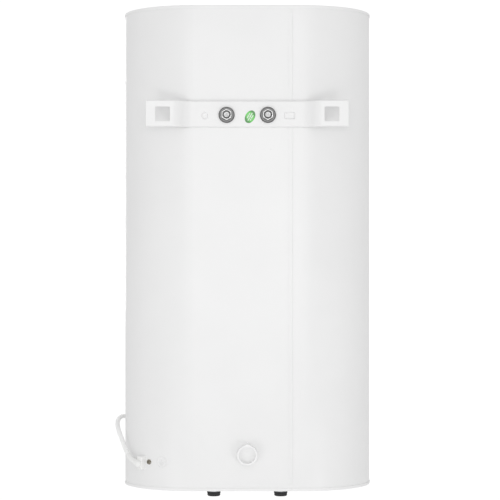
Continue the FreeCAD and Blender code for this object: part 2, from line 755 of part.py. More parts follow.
def safety_cutout():
    """Manual-reset over-temperature cut-out on the bay's chassis, button side down."""
    body = box(cutout_x - 18, cutout_x + 18, cutout_y - 14, cutout_y + 14, up(46), up(68))
    neck = rod(6.0, V(cutout_x, cutout_y, up(42)), Z, 4)
    body = body.fuse(neck)
    for x in (-13, 13):
        body = body.fuse(box(cutout_x + x - 3, cutout_x + x + 3, cutout_y - 22, cutout_y - 14,
                             up(56), up(56.8)))
    return body.cut(rod(3.0 + fit, V(cutout_x, cutout_y, up(41)), Z, 16))


def reset_button():
    return turned([(0, 0), (2.2, 0), (3.0, 0.8), (3.0, 15), (0, 15)], V(cutout_x, cutout_y, up(38.5)), Z)


def control_chassis():
    """Sheet-steel plate under the insulation that carries the cut-out and the terminal block."""
    plate = box(-34, 34, mid_y - 60, mid_y + 66, up(68), up(70))
    ears = [box(-34, 34, mid_y + y, mid_y + y + 2, up(70), up(bay_height)) for y in (-60, 64)]
    return plate.fuse(ears)


def terminal_block():
    body = box(-24, 24, mid_y + 14, mid_y + 36, up(50), up(68))
    for k in range(3):
        x = -15 + 15 * k
        body = body.cut(rod(2.2, V(x, mid_y + 25, up(49)), Z, 9))
        body = body.cut(rod(1.7, V(x, mid_y + 13, up(58)), Y, 24))
    return body


def terminal_screws():
    return group(rod(2.1, V(-15 + 15 * k, mid_y + 25, up(52)), Z, 5) for k in range(3))


def capillary():
    """Bulb in the outlet tank's pocket with its thin tube back to the thermostat."""
    foot = flange_at(1, 0, well_y, flange_low - 10)
    bulb = rod(well_bore - 0.2, foot + V(0, 0, 6), Z, 110)
    points = [foot + V(0, 0, 6.5), foot - V(0, 0, 14), V(104, mid_y - 20, up(34)), V(84, mid_y - 66, up(34)),
              V(knob_x, mid_y - 84, up(38)), V(knob_x, front_y + 26, up(38))]
    return bulb.fuse(bent_rod(points, 2.0, 0.3))


def wiring():
    """Insulated leads of the bay: terminal block to cut-out, switches, elements and earth."""
    leads = []
    for k, name in enumerate(rocker_spots):
        x = rocker_spots[name]
        leads.append([V(x, front_y + 22, panel_z), V(x, mid_y - 88 + 6 * k, panel_z + 4),
                      V(x * 0.8, cutout_y - 30, up(56.4)), V(13 * (-1) ** (k + 1), cutout_y - 22, up(56.4))])
    for side in (-1, 1):
        pin = flange_at(side, -side * leg_spread, leg_y, flange_low - 15)
        leads.append([pin, pin - V(0, 0, 8), V(side * 60, mid_y + 48, up(36)),
                      V(side * 34, mid_y + 46, up(50)),
                      V(side * 15, mid_y + 43, up(58)), V(side * 15, mid_y + 36.2, up(58))])
    entry = around_end(gland_turn, body_radius - 6, gland_height)
    leads.append([entry, entry - outward(gland_turn) * 14, V(120, mid_y + 72, up(34)),
                  V(60, mid_y + 66, up(30)),
                  V(0, mid_y + 62, up(38)), V(0, mid_y + 45, up(58)), V(0, mid_y + 36.2, up(58))])
    sizes = [2.6, 2.6, 3.0, 3.0, 6.5]
    return group(bent_rod(points, size, 0.35) for points, size in zip(leads, sizes))


# ---- supply cord and earth terminal -------------------------------------------------------------
coil_turn = -62.0        # where the coil hangs, in degrees round the +X end
coil_height = 58.0
coil_radius = 41.0       # middle of the turns, which lie two by two
coil_gap = 3.0           # coil to casing
outer_turn = coil_radius + cord_diameter / 2
layer = cord_diameter / 2

cord_route = [           # turn round the end in degrees, distance from its centre line, height
    (40.6, 137.6, 47.8),
    (36.2, 138.4, 51.6),
    (31.4, 138.6, 58.5),
    (26.0, 138.2, 68.0),
    (20.2, 138.4, 80.5),
    (13.6, 140.2, 93.0),
    (5.6, 142.6, 104.5),
    (-3.6, 143.6, 113.5),
    (-13.0, 143.4, 119.0),
    (-21.8, 142.8, 118.5),
    (-29.6, 142.4, 111.5),
    (-35.8, 142.2, 99.5),
    (-40.2, 142.3, 84.0),
]
lead_route = [           # sideways, outward and up from the coil's centre
    (-15.6, 12.4, 42.9),
    (-1.6, 12.4, 45.7),
    (12.6, 12.5, 43.9),
    (25.6, 12.9, 37.9),
    (36.0, 13.6, 28.1),
    (42.9, 14.5, 15.6),
    (45.7, 15.4, 2.4),
    (46.2, 16.0, -10.0),
    (45.6, 16.2, -22.0),
]
plug_tall = 38.0


def coil_frame():
    """Centre, outward normal and sideways direction of the hanging coil."""
    normal = outward(coil_turn)
    centre = around_end(coil_turn, body_radius + coil_gap + cord_diameter, coil_height)
    return centre, normal, V(-normal.y, normal.x, 0)


def coil_point(side, out, height):
    centre, normal, sideways = coil_frame()
    return centre + sideways * side + normal * out + Z * height


def power_cord():
    """The free stretch, from the gland over its crest and down into the coil's first turn."""
    points = [around_end(*spot) for spot in cord_route] + [coil_point(outer_turn, -layer, 0)]
    return bent_rod(points, cord_diameter, tell="cord").cut(cord_coil())


def cord_coil():
    """Outer shape of the turns that put the spare cord away."""
    centre, normal, _ = coil_frame()
    inner, outer = coil_radius - cord_diameter, coil_radius + cord_diameter
    return turned([(inner, -cord_diameter), (outer, -cord_diameter), (outer, cord_diameter),
                   (inner, cord_diameter)], centre, normal)


def plug_lead():
    """The end of the cord, from the coil's top over its face to the hanging plug."""
    return bent_rod([coil_point(*spot) for spot in lead_route], cord_diameter, tell="lead")


def cord_tie():
    """Flat tie round the bundle, low on the side away from the lead."""
    centre, normal, sideways = coil_frame()
    half, thick = 5.0, 1.4
    reach = cord_diameter + thick
    corners = [coil_point(-coil_radius + a, b, -half)
               for a, b in ((-reach, -reach), (reach, -reach), (reach, reach), (-reach, reach))]
    return prism(corners, Z * 2 * half).cut(cord_coil())


def plug_frame():
    """Middle of the plug's face, the way its pins point, and the way from one pin to the other."""
    before, last = (coil_point(*spot) for spot in lead_route[-2:])
    heading = last - before
    heading.normalize()
    across = heading.cross(outward(coil_turn))
    across.normalize()
    return last + heading * plug_tall, heading, across


def plug_body():
    """Moulded round plug with a tapered tail, hanging pins down."""
    face, heading, _ = plug_frame()
    return turned([(0, 0), (15.6, 0), (16.6, 1), (17, 9), (14.2, 17), (8.6, 23), (5.6, plug_tall),
                   (0, plug_tall)], face, -heading)


def plug_pins():
    face, heading, across = plug_frame()
    profile = [(0, 0), (2.4, 0), (2.4, 17.6), (1.5, 19), (0, 19)]
    return group(turned(profile, face + across * side * 9.5, heading) for side in (-1, 1))


def cable_gland():
    """Two-part strain relief: a saddle on the casing and a tapered sleeve along the cord."""
    middle = around_end(gland_turn, body_radius, gland_height)
    normal = outward(gland_turn)
    along = V(-normal.y, normal.x, 0)
    half, tall = 7.0, 12.0
    corners = [middle + along * a + Z * b
               for a, b in ((-half, -tall), (half, -tall), (half, tall), (-half, tall))]
    saddle = prism([p - normal * 4 for p in corners], normal * 12)
    saddle = saddle.makeFillet(2.0, [e for e in saddle.Edges if abs(e.Length - 12) < 0.01])
    saddle = saddle.makeFillet(1.2, [e for e in saddle.Edges
                                     if all((v.Point - middle).dot(normal) > 7.9 for v in e.Vertexes)])
    saddle = saddle.cut(stadium(body_radius, up(0), up(100)))
    first, second = around_end(*cord_route[0]), around_end(*cord_route[1])
    heading = second - first
    heading.normalize()
    sleeve = turned([(0, -15), ((4.6, -13.4), (6.3, -9)), (6.3, -5), (5.4, 0), (0, 0)], first, heading)
    throat = rod(gland_hole, around_end(gland_turn, body_radius - 6, gland_height), normal, 12)
    return saddle.fuse([sleeve, throat]).removeSplitter()


def earth_screw():
    """Pan-head M4 earth screw with its cross slot."""
    spot, normal = around_end(earth_turn, body_radius + 1.0, earth_height), outward(earth_turn)
    head = turned([(0, -14), (1.95, -14), (1.95, 0), (3.75, 0), ((3.3, 1.9), (2.0, 2.6)), (0, 2.6)],
                  spot, normal)
    slots = box(-2.3, 2.3, -0.45, 0.45, 1.4, 3).fuse(box(-0.45, 0.45, -2.3, 2.3, 1.4, 3))
    return head.cut(placed(slots, spot, normal))


def earth_washer():
    spot = around_end(earth_turn, body_radius + 0.2, earth_height)
    return tube(5.0, 2.1, spot, outward(earth_turn), 0.8)


# ---- nodes --------------------------------------------------------------------------------------
inlet, outlet = -1, 1
parts["tank_link_pipe"] = tank_link()
parts.update({
    "casing_shell": casing(),
    "top_cover": end_cover(top_z - cover_wall, top_z, top_z, -1),
    "bottom_cover": bottom_cover(),
    "cover_screws": cover_screws(),
    "cover_posts": cover_posts(),
    "wall_bracket": wall_bracket(),
    "bracket_bolts": bracket_bolts(),
    "spring_washers": bracket_rings(8.8, plate_y + washer_thick, spring_thick, True),
    "flat_washers": bracket_rings(14.1, plate_y, washer_thick, False),
    "mounting_strap": mounting_strap(),
    "wall_spacer": wall_spacer(),
    "check_sticker": sticker(),
    "insulation_foam": insulation(),
    "flange_screws": flange_screws(),
    "flange_gaskets": flange_gaskets(),
    "thermowells": thermowells(),
    "inlet_diffuser": inlet_diffuser(),
    "outlet_dip_tube": outlet_dip_tube(),
    "control_fascia": control_fascia(),
    "lamp_lenses": lamp_lenses(),
    "thermostat": thermostat(),
    "thermostat_shaft": thermostat_shaft(),
    "temperature_knob": temperature_knob(),
    "rocker_frames": rocker_frames(),
    "power_rocker": rocker("power"),
    "boost_rocker": rocker("boost"),
    "thermometer_case": thermometer_case(),
    "thermometer_needle": thermometer_needle(),
    "thermometer_lens": thermometer_lens(),
    "safety_cutout": safety_cutout(),
    "reset_button": reset_button(),
    "control_chassis": control_chassis(),
    "terminal_block": terminal_block(),
    "terminal_screws": terminal_screws(),
    "thermostat_capillary": capillary(),
    "bay_wiring": wiring(),
    "cable_gland": cable_gland(),
    "earth_screw": earth_screw(),
    "earth_washer": earth_washer(),
    "power_cord": power_cord(),
    "cord_coil": cord_coil(),
    "cord_tie": cord_tie(),
    "plug_lead": plug_lead(),
    "plug_body": plug_body(),
    "plug_pins": plug_pins(),
})
for name, side in (("inlet", inlet), ("outlet", outlet)):
    parts[name + "_tank"] = tank(side)
    parts[name + "_flange"] = element_flange(side)
    parts[name + "_element"] = heating_element(side)
    parts[name + "_anode"] = anode(side)
    parts[name + "_nipple"] = nipple(side)
    parts[name + "_ring"] = nipple_ring(side)
    parts[name + "_cap"] = nipple_cap(side)

os.makedirs("parts", exist_ok=True)
for name, shape in parts.items():
    shape.exportStep(f"parts/{name}.step")
    if not shape.isValid() or shape.Volume <= 0:
        print("check", name, shape.isValid(), round(shape.Volume, 1))
print(len(parts), "nodes")
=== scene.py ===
"""Looks of the tank water heater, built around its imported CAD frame. Metres, row frame."""
import json
import math

import bmesh
import bpy
from mathutils import Matrix, Vector


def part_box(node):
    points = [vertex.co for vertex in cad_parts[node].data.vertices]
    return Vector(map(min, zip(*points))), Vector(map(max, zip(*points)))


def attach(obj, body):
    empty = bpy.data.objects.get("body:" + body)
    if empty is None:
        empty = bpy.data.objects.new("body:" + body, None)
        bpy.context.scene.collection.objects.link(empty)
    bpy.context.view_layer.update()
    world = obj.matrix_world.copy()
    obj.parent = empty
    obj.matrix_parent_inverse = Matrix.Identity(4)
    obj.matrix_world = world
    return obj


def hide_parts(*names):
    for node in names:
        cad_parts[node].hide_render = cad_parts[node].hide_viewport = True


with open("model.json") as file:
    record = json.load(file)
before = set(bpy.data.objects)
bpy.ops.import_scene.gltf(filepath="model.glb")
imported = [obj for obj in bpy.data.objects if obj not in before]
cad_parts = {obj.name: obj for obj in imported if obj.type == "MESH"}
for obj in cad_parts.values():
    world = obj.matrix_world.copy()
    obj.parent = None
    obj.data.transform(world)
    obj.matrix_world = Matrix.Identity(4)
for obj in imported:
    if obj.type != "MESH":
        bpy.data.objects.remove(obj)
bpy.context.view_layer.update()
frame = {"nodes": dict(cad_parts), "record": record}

# ---- places from the frame ----------------------------------------------------------------------
NODES = frame["nodes"]
SHELL_LOW, SHELL_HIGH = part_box("casing_shell")
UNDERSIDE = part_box("bottom_cover")[0].z
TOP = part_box("top_cover")[1].z
END_RADIUS = 0.128                       # half rounds of the casing's plan
MID_Y = SHELL_LOW.y + END_RADIUS
BACK_Y = MID_Y + END_RADIUS
FRONT_Y = SHELL_LOW.y
SPREAD = SHELL_HIGH.x - END_RADIUS
FASCIA_LOW, FASCIA_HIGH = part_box("control_fascia")
PANEL_Z = (FASCIA_LOW.z + FASCIA_HIGH.z) / 2
Y, Z = Vector((0, 1, 0)), Vector((0, 0, 1))
CORNERS = ((1, 1), (-1, 1), (-1, -1), (1, -1))     # of a rectangle, anticlockwise


def middle(node):
    """Middle of a node's box."""
    low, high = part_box(node)
    return (low + high) / 2


def around_end(turn, radius, height):
    """Point at a turn, in degrees, round the +X end's centre line, over the underside."""
    angle = math.radians(turn)
    x, y = SPREAD + radius * math.cos(angle), MID_Y + radius * math.sin(angle)
    return Vector((x, y, UNDERSIDE + height))


def outward(turn):
    """Direction away from the +X end's centre line at a turn."""
    return Vector((math.cos(math.radians(turn)), math.sin(math.radians(turn)), 0))


# ---- materials ----------------------------------------------------------------------------------
HEAD_FLATS = 0.017                       # M10 hexagon head, across its flats
LABEL_TILT = math.radians(60)
LABEL_HALF = (0.012, 0.0083)             # half of the oval label's long and short way


class Shader:
    """A Principled material with short calls for the nodes that feed it."""

    def __init__(self, name, colour, roughness, metallic=0.0, **sockets):
        self.material = bpy.data.materials.new(name)
        self.material.use_nodes = True
        self.tree = self.material.node_tree
        self.base = self.tree.nodes["Principled BSDF"]
        self.base.inputs["Base Color"].default_value = (*colour, 1)
        self.base.inputs["Roughness"].default_value = roughness
        self.base.inputs["Metallic"].default_value = metallic
        for key, value in sockets.items():
            self.base.inputs[key.replace("_", " ")].default_value = value
        self.place = self.tree.nodes.new("ShaderNodeTexCoord").outputs["Object"]

    def node(self, kind, links=(), **values):
        made = self.tree.nodes.new(kind)
        for key, value in values.items():
            setattr(made, key, value)
        for socket, source in dict(links).items():
            if isinstance(source, bpy.types.NodeSocket):
                self.tree.links.new(source, made.inputs[socket])
            else:
                made.inputs[socket].default_value = source
        return made

    def scaled(self, scale):
        """Object coordinates stretched by a scale for each axis."""
        return self.node("ShaderNodeMapping", {"Vector": self.place, "Scale": scale}).outputs[0]

    def noise(self, scale, detail=3.0, rough=0.5, vector=None):
        links = {"Vector": vector or self.place, "Scale": scale, "Detail": detail,
                 "Roughness": rough}
        return self.node("ShaderNodeTexNoise", links).outputs["Fac"]

    def calc(self, operation, first, second=0.0):
        return self.node("ShaderNodeMath", {0: first, 1: second}, operation=operation).outputs[0]

    def length(self, vector):
        made = self.node("ShaderNodeVectorMath", {0: vector}, operation="LENGTH")
        return made.outputs["Value"]

    def share(self, value, low, high, **how):
        """A value's share of the way from low to high."""
        links = {"Value": value, "From Min": low, "From Max": high}
        return self.node("ShaderNodeMapRange", links, **how).outputs[0]

    def ramp(self, source, stops):
        """Colour ramp; a stop is a place with a colour or a grey level."""
        made = self.node("ShaderNodeValToRGB", {"Fac": source})
        ramp = made.color_ramp
        while len(ramp.elements) < len(stops):
            ramp.elements.new(0.5)
        for element, (at, colour) in zip(ramp.elements, stops):
            element.position = at
            element.color = (*(colour if isinstance(colour, tuple) else (colour,) * 3), 1)
        return made.outputs["Color"]

    def colour(self, source):
        self.tree.links.new(source, self.base.inputs["Base Color"])
        return self

    def rough(self, source, low, high):
        made = self.node("ShaderNodeMapRange", {"Value": source, "To Min": low, "To Max": high})
        self.tree.links.new(made.outputs[0], self.base.inputs["Roughness"])
        return self

    def bump(self, source, strength, distance=0.001):
        links = {"Height": source, "Strength": strength, "Distance": distance}
        if self.base.inputs["Normal"].is_linked:
            links["Normal"] = self.base.inputs["Normal"].links[0].from_socket
        made = self.node("ShaderNodeBump", links)
        self.tree.links.new(made.outputs[0], self.base.inputs["Normal"])
        return self


def tones(colour, spread):
    """A colour a little darker and a little lighter."""
    return [tuple(min(c * f, 1) for c in colour) for f in (1 - spread, 1 + spread)]


def painted(name, colour, roughness=0.3, peel=0.25, spread=0.012):
    """Stoved enamel: faint orange peel, drifting gloss and a trace of uneven tone."""
    made = Shader(name, colour, roughness, Specular_IOR_Level=0.45)
    dark, light = tones(colour, spread)
    made.colour(made.ramp(made.noise(9.0, 4.0, 0.55), [(0.3, dark), (0.7, light)]))
    made.rough(made.noise(35.0, 2.0), roughness - 0.05, roughness + 0.07)
    made.bump(made.noise(620.0, 2.0, 0.4), peel, 0.00012)
    made.bump(made.noise(24.0, 2.0, 0.4), 0.05, 0.0012)
    return made.material


def moulded(name, colour, roughness=0.42, grain=0.3, spread=0.015):
    """Injection-moulded plastic: a fine even texture and faint flow marks."""
    made = Shader(name, colour, roughness)
    dark, light = tones(colour, spread)
    flow = made.noise(14.0, 3.0, 0.6, made.scaled((1.0, 1.0, 0.35)))
    made.colour(made.ramp(flow, [(0.3, dark), (0.7, light)]))
    made.rough(made.noise(60.0, 3.0), roughness - 0.06, roughness + 0.08)
    made.bump(made.noise(1900.0, 2.0, 0.5), grain, 0.00008)
    return made.material


def plated(name, colour, roughness=0.3, blotch=0.12, scratch=0.3):
    """Zinc-plated steel: spangled tone, fine scratches and duller patches."""
    made = Shader(name, colour, roughness, 1.0)
    dark, light = tones(colour, blotch)
    made.colour(made.ramp(made.noise(260.0, 5.0, 0.65), [(0.3, dark), (0.72, light)]))
    made.rough(made.noise(420.0, 4.0, 0.6), roughness - 0.1, roughness + 0.16)
    lines = made.noise(700.0, 3.0, 0.6, made.scaled((1.0, 6.0, 1.0)))
    made.bump(lines, scratch, 0.00005)
    return made.material


def from_bolt_axis(made, unevenness):
    """Distance from the nearer bracket bolt's axis, made uneven by noise, as a shader value; it
    places the painted shade rings on the bolt heads and washers.
    """
    low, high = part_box("bracket_bolts")
    half_apart = (high.x - low.x) / 2 - HEAD_FLATS / 2
    part = made.node("ShaderNodeSeparateXYZ", {"Vector": made.place})
    side = made.calc("SUBTRACT", made.calc("ABSOLUTE", part.outputs["X"]), half_apart)
    rise = made.calc("SUBTRACT", part.outputs["Z"], (low.z + high.z) / 2)
    flat = made.node("ShaderNodeCombineXYZ", {"X": side, "Y": rise}).outputs[0]
    # Noise that makes the edges of the painted shade rings uneven.
    uneven = made.calc("MULTIPLY", made.noise(500.0, 4.0, 0.7), unevenness)
    return made.calc("ADD", made.length(flat), uneven)


def bolt_finish(name):
    """Zinc-plated head: bright raised rim, a dark ring of painted shade in the groove and a duller
    middle.
    """
    made = Shader(name, (0.6, 0.6, 0.6), 0.3, 0.75)
    disc = [(0.0, 0.24), (0.2, 0.4), (0.4, 0.46)]
    # Painted shade: the groove's ring is coloured near black.
    groove = [(0.47, 0.06), (0.56, 0.05)]
    rim = [(0.63, 0.92), (1.0, 0.95)]
    away = made.share(from_bolt_axis(made, 0.0009), 0.0, 0.0125)
    made.colour(made.ramp(away, disc + groove + rim))
    made.rough(made.noise(420.0, 4.0, 0.6), 0.2, 0.44)
    made.bump(made.noise(700.0, 3.0, 0.6), 0.35, 0.00006)
    return made.material


def washer_finish(name):
    """Zinc-plated washer: lighter in a middle band, with painted shade at its rim and next to the
    bolt head.
    """
    made = Shader(name, (0.2, 0.2, 0.2), 0.38, 1.0)
    # Painted shade next to the bolt head.
    shade_by_head = [(0.0, 0.05), (0.24, 0.08)]
    # Lighter middle band between the painted shade.
    middle_band = [(0.45, 0.19), (0.64, 0.16)]
    # Painted shade at the washer's outer rim.
    rim = [(0.8, 0.07), (1.0, 0.05)]
    away = made.share(from_bolt_axis(made, 0.0022), 0.008, 0.016)
    made.colour(made.ramp(away, shade_by_head + middle_band + rim))
    made.rough(made.noise(420.0, 4.0, 0.6), 0.3, 0.5)
    made.bump(made.noise(700.0, 3.0, 0.6), 0.35, 0.00006)
    return made.material


def label_print(name):
    """Green oval label: a darker rim and mottled ink."""
    made = Shader(name, (0.2, 0.62, 0.2), 0.34)
    links = {"Vector": made.place, "Location": -middle("check_sticker")}
    centred = made.node("ShaderNodeMapping", links).outputs[0]
    links = {"Vector": centred, "Angle": LABEL_TILT}
    level = made.node("ShaderNodeVectorRotate", links, rotation_type="Y_AXIS").outputs[0]
    links = {"Vector": level, "Scale": (1 / LABEL_HALF[0], 0, 1 / LABEL_HALF[1])}
    oval = made.length(made.node("ShaderNodeMapping", links).outputs[0])
    away = made.calc("ADD", oval, made.calc("MULTIPLY", made.noise(900.0, 3.0, 0.6), 0.16))
    made.colour(made.ramp(away, [(0.3, (0.3, 0.66, 0.27)), (0.75, (0.16, 0.62, 0.13)),
                                 (0.92, (0.12, 0.52, 0.1)), (1.0, (0.1, 0.3, 0.1))]))
    made.rough(made.noise(200.0, 2.0), 0.3, 0.42)
    return made.material


def sheathed(name, colour):
    """Soft PVC sheath: satin, with a slow ripple from the strands inside."""
    made = Shader(name, colour, 0.46, Coat_Weight=0.08, Coat_Roughness=0.3)
    dark, light = tones(colour, 0.02)
    made.colour(made.ramp(made.noise(40.0, 3.0), [(0.3, dark), (0.7, light)]))
    made.rough(made.noise(180.0, 3.0), 0.4, 0.54)
    made.bump(made.noise(130.0, 2.0), 0.16, 0.0004)
    return made.material


def foamy(name, colour):
    """Cut face of rigid foam, with small cells."""
    made = Shader(name, colour, 0.85)
    links = {"Vector": made.place, "Scale": 900.0}
    cells = made.node("ShaderNodeTexVoronoi", links).outputs["Distance"]
    dark, light = tones(colour, 0.12)
    made.colour(made.ramp(cells, [(0.1, dark), (0.6, light)]))
    made.bump(cells, 0.5, 0.0005)
    return made.material


def clear(name, tint):
    """Thin clear plastic lens with fine handling scuffs."""
    made = Shader(name, tint, 0.06, Transmission_Weight=1.0, IOR=1.46)
    made.rough(made.noise(300.0, 4.0, 0.7), 0.02, 0.12)
    return made.material


WHITE = (0.83, 0.83, 0.83)
FINISH = {
    "casing_paint": lambda n: painted(n, WHITE),
    "bracket_paint": lambda n: painted(n, (0.84, 0.84, 0.84), 0.33, 0.35),
    "cover_plastic": lambda n: moulded(n, (0.84, 0.84, 0.84), 0.36, 0.15),
    "spacer_plastic": lambda n: moulded(n, (0.865, 0.865, 0.865), 0.45),
    "gland_plastic": lambda n: moulded(n, (0.86, 0.86, 0.85), 0.4),
    "cord_sheath": lambda n: sheathed(n, (0.93, 0.93, 0.925)),
    "plug_plastic": lambda n: moulded(n, (0.84, 0.84, 0.83), 0.45),
    "tie_plastic": lambda n: moulded(n, (0.03, 0.03, 0.03), 0.5),
    "bolt_steel": bolt_finish,
    "washer_steel": washer_finish,
    "pin_metal": lambda n: plated(n, (0.66, 0.64, 0.6), 0.22),
    "earth_brass": lambda n: plated(n, (0.3, 0.275, 0.225), 0.38, 0.45),
    "steel_plate": lambda n: plated(n, (0.5, 0.51, 0.52), 0.36),
    "element_sheath": lambda n: plated(n, (0.45, 0.44, 0.42), 0.3),
    "anode_metal": lambda n: plated(n, (0.55, 0.55, 0.57), 0.5),
    "copper_tube": lambda n: plated(n, (0.72, 0.38, 0.22), 0.28),
    "tank_enamel": lambda n: painted(n, (0.05, 0.08, 0.16), 0.2, 0.4, 0.1),
    "foam": lambda n: foamy(n, (0.74, 0.6, 0.3)),
    "gasket_rubber": lambda n: moulded(n, (0.02, 0.02, 0.02), 0.6),
    "cap_black": lambda n: moulded(n, (0.011, 0.011, 0.012), 0.5, 0.5, 0.2),
    "cold_ring": lambda n: moulded(n, (0.02, 0.09, 0.5), 0.35),
    "hot_ring": lambda n: moulded(n, (0.55, 0.02, 0.015), 0.35),
    "water_plastic": lambda n: moulded(n, (0.75, 0.75, 0.72), 0.4),
    "fascia_plastic": lambda n: moulded(n, (0.62, 0.63, 0.65), 0.3, 0.12),
    "knob_plastic": lambda n: moulded(n, (0.84, 0.84, 0.84), 0.3, 0.15),
    "rocker_red": lambda n: moulded(n, (0.6, 0.02, 0.012), 0.22, 0.05),
    "switch_black": lambda n: moulded(n, (0.02, 0.02, 0.02), 0.4),
    "lamp_amber": lambda n: moulded(n, (0.85, 0.3, 0.03), 0.15, 0.02),
    "dial_white": lambda n: moulded(n, (0.8, 0.8, 0.8), 0.3, 0.1),
    "needle_red": lambda n: moulded(n, (0.65, 0.01, 0.01), 0.35, 0.05),
    "dial_glass": lambda n: clear(n, (0.97, 0.99, 1.0)),
    "wire_pvc": lambda n: sheathed(n, (0.22, 0.1, 0.05)),
    "block_plastic": lambda n: moulded(n, (0.75, 0.72, 0.62), 0.5),
    "reset_red": lambda n: moulded(n, (0.65, 0.02, 0.015), 0.3),
    "sticker_green": label_print,
}
MATERIAL = {name: make(name) for name, make in FINISH.items()}


def dress(obj, slot):
    """Give a piece the material of one of the record's slots."""
    obj.data.materials.clear()
    obj.data.materials.append(MATERIAL[slot])
    return obj


for part in frame["record"]["subparts"]:
    dress(NODES[part["node"]], part["material_slot"])


# ---- mesh helpers -------------------------------------------------------------------------------
def finished(name, mesh, slot, body="heater", crease=35):
    """Link a mesh as a piece that rides on a body, with smooth faces and sharp creases."""
    obj = bpy.data.objects.new(name, mesh)
    bpy.context.scene.collection.objects.link(obj)
    mesh.polygons.foreach_set("use_smooth", [True] * len(mesh.polygons))
    mesh.set_sharp_from_angle(angle=math.radians(crease))
    dress(obj, slot)
    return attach(obj, body)


def from_bmesh(name, bm, slot, body="heater", crease=35):
    """Finish a piece from its bmesh, with the faces turned outwards."""
    bmesh.ops.recalc_face_normals(bm, faces=bm.faces)
    mesh = bpy.data.meshes.new(name)
    bm.to_mesh(mesh)
    bm.free()
    return finished(name, mesh, slot, body, crease)


def spin_about(direction):
    """Rotation that takes +Z to a direction."""
    return Z.rotation_difference(Vector(direction)).to_matrix().to_4x4()


def bridge(bm, rings, loop=False, caps=False):
    """Faces from each ring of vertices to the next; a ring of one vertex closes to a point."""
    for a, b in zip(rings, rings[1:] + rings[:1] if loop else rings[1:]):
        steps = max(len(a), len(b))
        for k in range(steps):
            n = (k + 1) % steps
            corners = [a[k % len(a)], a[n % len(a)], b[n % len(b)], b[k % len(b)]]
            unique = list(dict.fromkeys(corners))
            if len(unique) > 2:
                bm.faces.new(unique)
    if caps:
        bm.faces.new(list(reversed(rings[0])))
        bm.faces.new(rings[-1])
    return bm


def lathe(bm, profile, base, direction, steps=64, wave=None):
    """Add a turned surface of (radius, height) points; wave changes a radius by its turn."""
    turn = Matrix.Translation(base) @ spin_about(direction)
    rings = []
    for radius, height in profile:
        if radius < 1e-7:
            rings.append([bm.verts.new(turn @ Vector((0, 0, height)))])
            continue
        ring = []
        for k in range(steps):
            angle = 2 * math.pi * k / steps
            here = radius + (wave(angle, radius, height) if wave else 0)
            spot = Vector((here * math.cos(angle), here * math.sin(angle), height))
            ring.append(bm.verts.new(turn @ spot))
        rings.append(ring)
    return bridge(bm, rings)


def mesh_of(obj):
    """A new mesh with an object's evaluated shape."""
    graph = bpy.context.evaluated_depsgraph_get()
    return bpy.data.meshes.new_from_object(obj.evaluated_get(graph))


def slab(bm, width, tall, thick, place, bevel):
    """Add a rounded slab, drawn in its own X and Y with its thickness up Z, moved by a matrix."""
    made = bmesh.ops.create_cube(bm, size=1.0)["verts"]
    for v in made:
        v.co = Vector((v.co.x * width, v.co.y * tall, (v.co.z + 0.5) * thick))
    edges = list({e for v in made for e in v.link_edges})
    rounded = bmesh.ops.bevel(bm, geom=edges, offset=bevel, segments=2, affect="EDGES", profile=0.6)
    kept = rounded["verts"] + [v for v in made if v.is_valid]
    bmesh.ops.transform(bm, matrix=place, verts=list({v for v in kept if v.is_valid}))
    return bm


# ---- camera, light and ground -------------------------------------------------------------------
CAMERA_DISTANCE = 3.12
CAMERA_HEIGHT = 0.394
LENS = 127.0
SHIFT_RIGHT, SHIFT_UP = 0.0055, 0.037
BACKDROP = 1.05                          # strength of the white seen behind everything
SKY = 0.75                               # strength of the white that lights the scene
LIGHT_SPREAD = math.radians(110)
AIM_HEIGHT = 0.43                        # half of the casing's height


def camera():
    """Long lens, level, looking at the heater's back."""
    data = bpy.data.cameras.new("camera")
    data.lens = LENS
    data.sensor_width = 36.0
    data.shift_x, data.shift_y = SHIFT_RIGHT, SHIFT_UP
    obj = bpy.data.objects.new("camera", data)
    obj.location = (0, BACK_Y + CAMERA_DISTANCE, UNDERSIDE + CAMERA_HEIGHT)
    obj.rotation_euler = (math.radians(90), 0, math.radians(180))
    bpy.context.scene.collection.objects.link(obj)
    bpy.context.scene.camera = obj


def area_light(name, place, target, size, power):
    """Square light at a place, aimed at a target."""
    data = bpy.data.lights.new(name, "AREA")
    data.size = size
    data.spread = LIGHT_SPREAD
    data.energy = power
    obj = bpy.data.objects.new(name, data)
    obj.location = place
    obj.rotation_euler = (Vector(target) - Vector(place)).to_track_quat("-Z", "Y").to_euler()
    bpy.context.scene.collection.objects.link(obj)


def studio():
    """White surroundings, a broad light behind and in front, and a small one low at each side."""
    world = bpy.data.worlds.new("studio")
    world.use_nodes = True
    tree = world.node_tree
    back = tree.nodes["Background"]
    back.inputs["Color"].default_value = (1, 1, 1, 1)
    back.inputs["Strength"].default_value = SKY
    seen = tree.nodes.new("ShaderNodeBackground")
    seen.inputs["Color"].default_value = (1, 1, 1, 1)
    seen.inputs["Strength"].default_value = BACKDROP
    path = tree.nodes.new("ShaderNodeLightPath")
    mix = tree.nodes.new("ShaderNodeMixShader")
    tree.links.new(path.outputs["Is Camera Ray"], mix.inputs["Fac"])
    tree.links.new(back.outputs[0], mix.inputs[1])
    tree.links.new(seen.outputs[0], mix.inputs[2])
    tree.links.new(mix.outputs[0], tree.nodes["World Output"].inputs["Surface"])
    bpy.context.scene.world = world
    bpy.context.scene.view_settings.view_transform = "Standard"
    aim = Vector((0, BACK_Y, UNDERSIDE + AIM_HEIGHT))
    area_light("back_light", aim + Vector((0, 3.6, 0.35)), aim, 1.6, 7.2)
    area_light("front_light", (0.5, FRONT_Y - 3.4, UNDERSIDE + 1.1),
               (0, FRONT_Y, UNDERSIDE + AIM_HEIGHT), 1.8, 8.0)
    for side in (-1, 1):
        area_light(f"low_light_{side}", aim + Vector((side * 1.3, 1.9, -1.05)), aim, 0.42, 1.6)


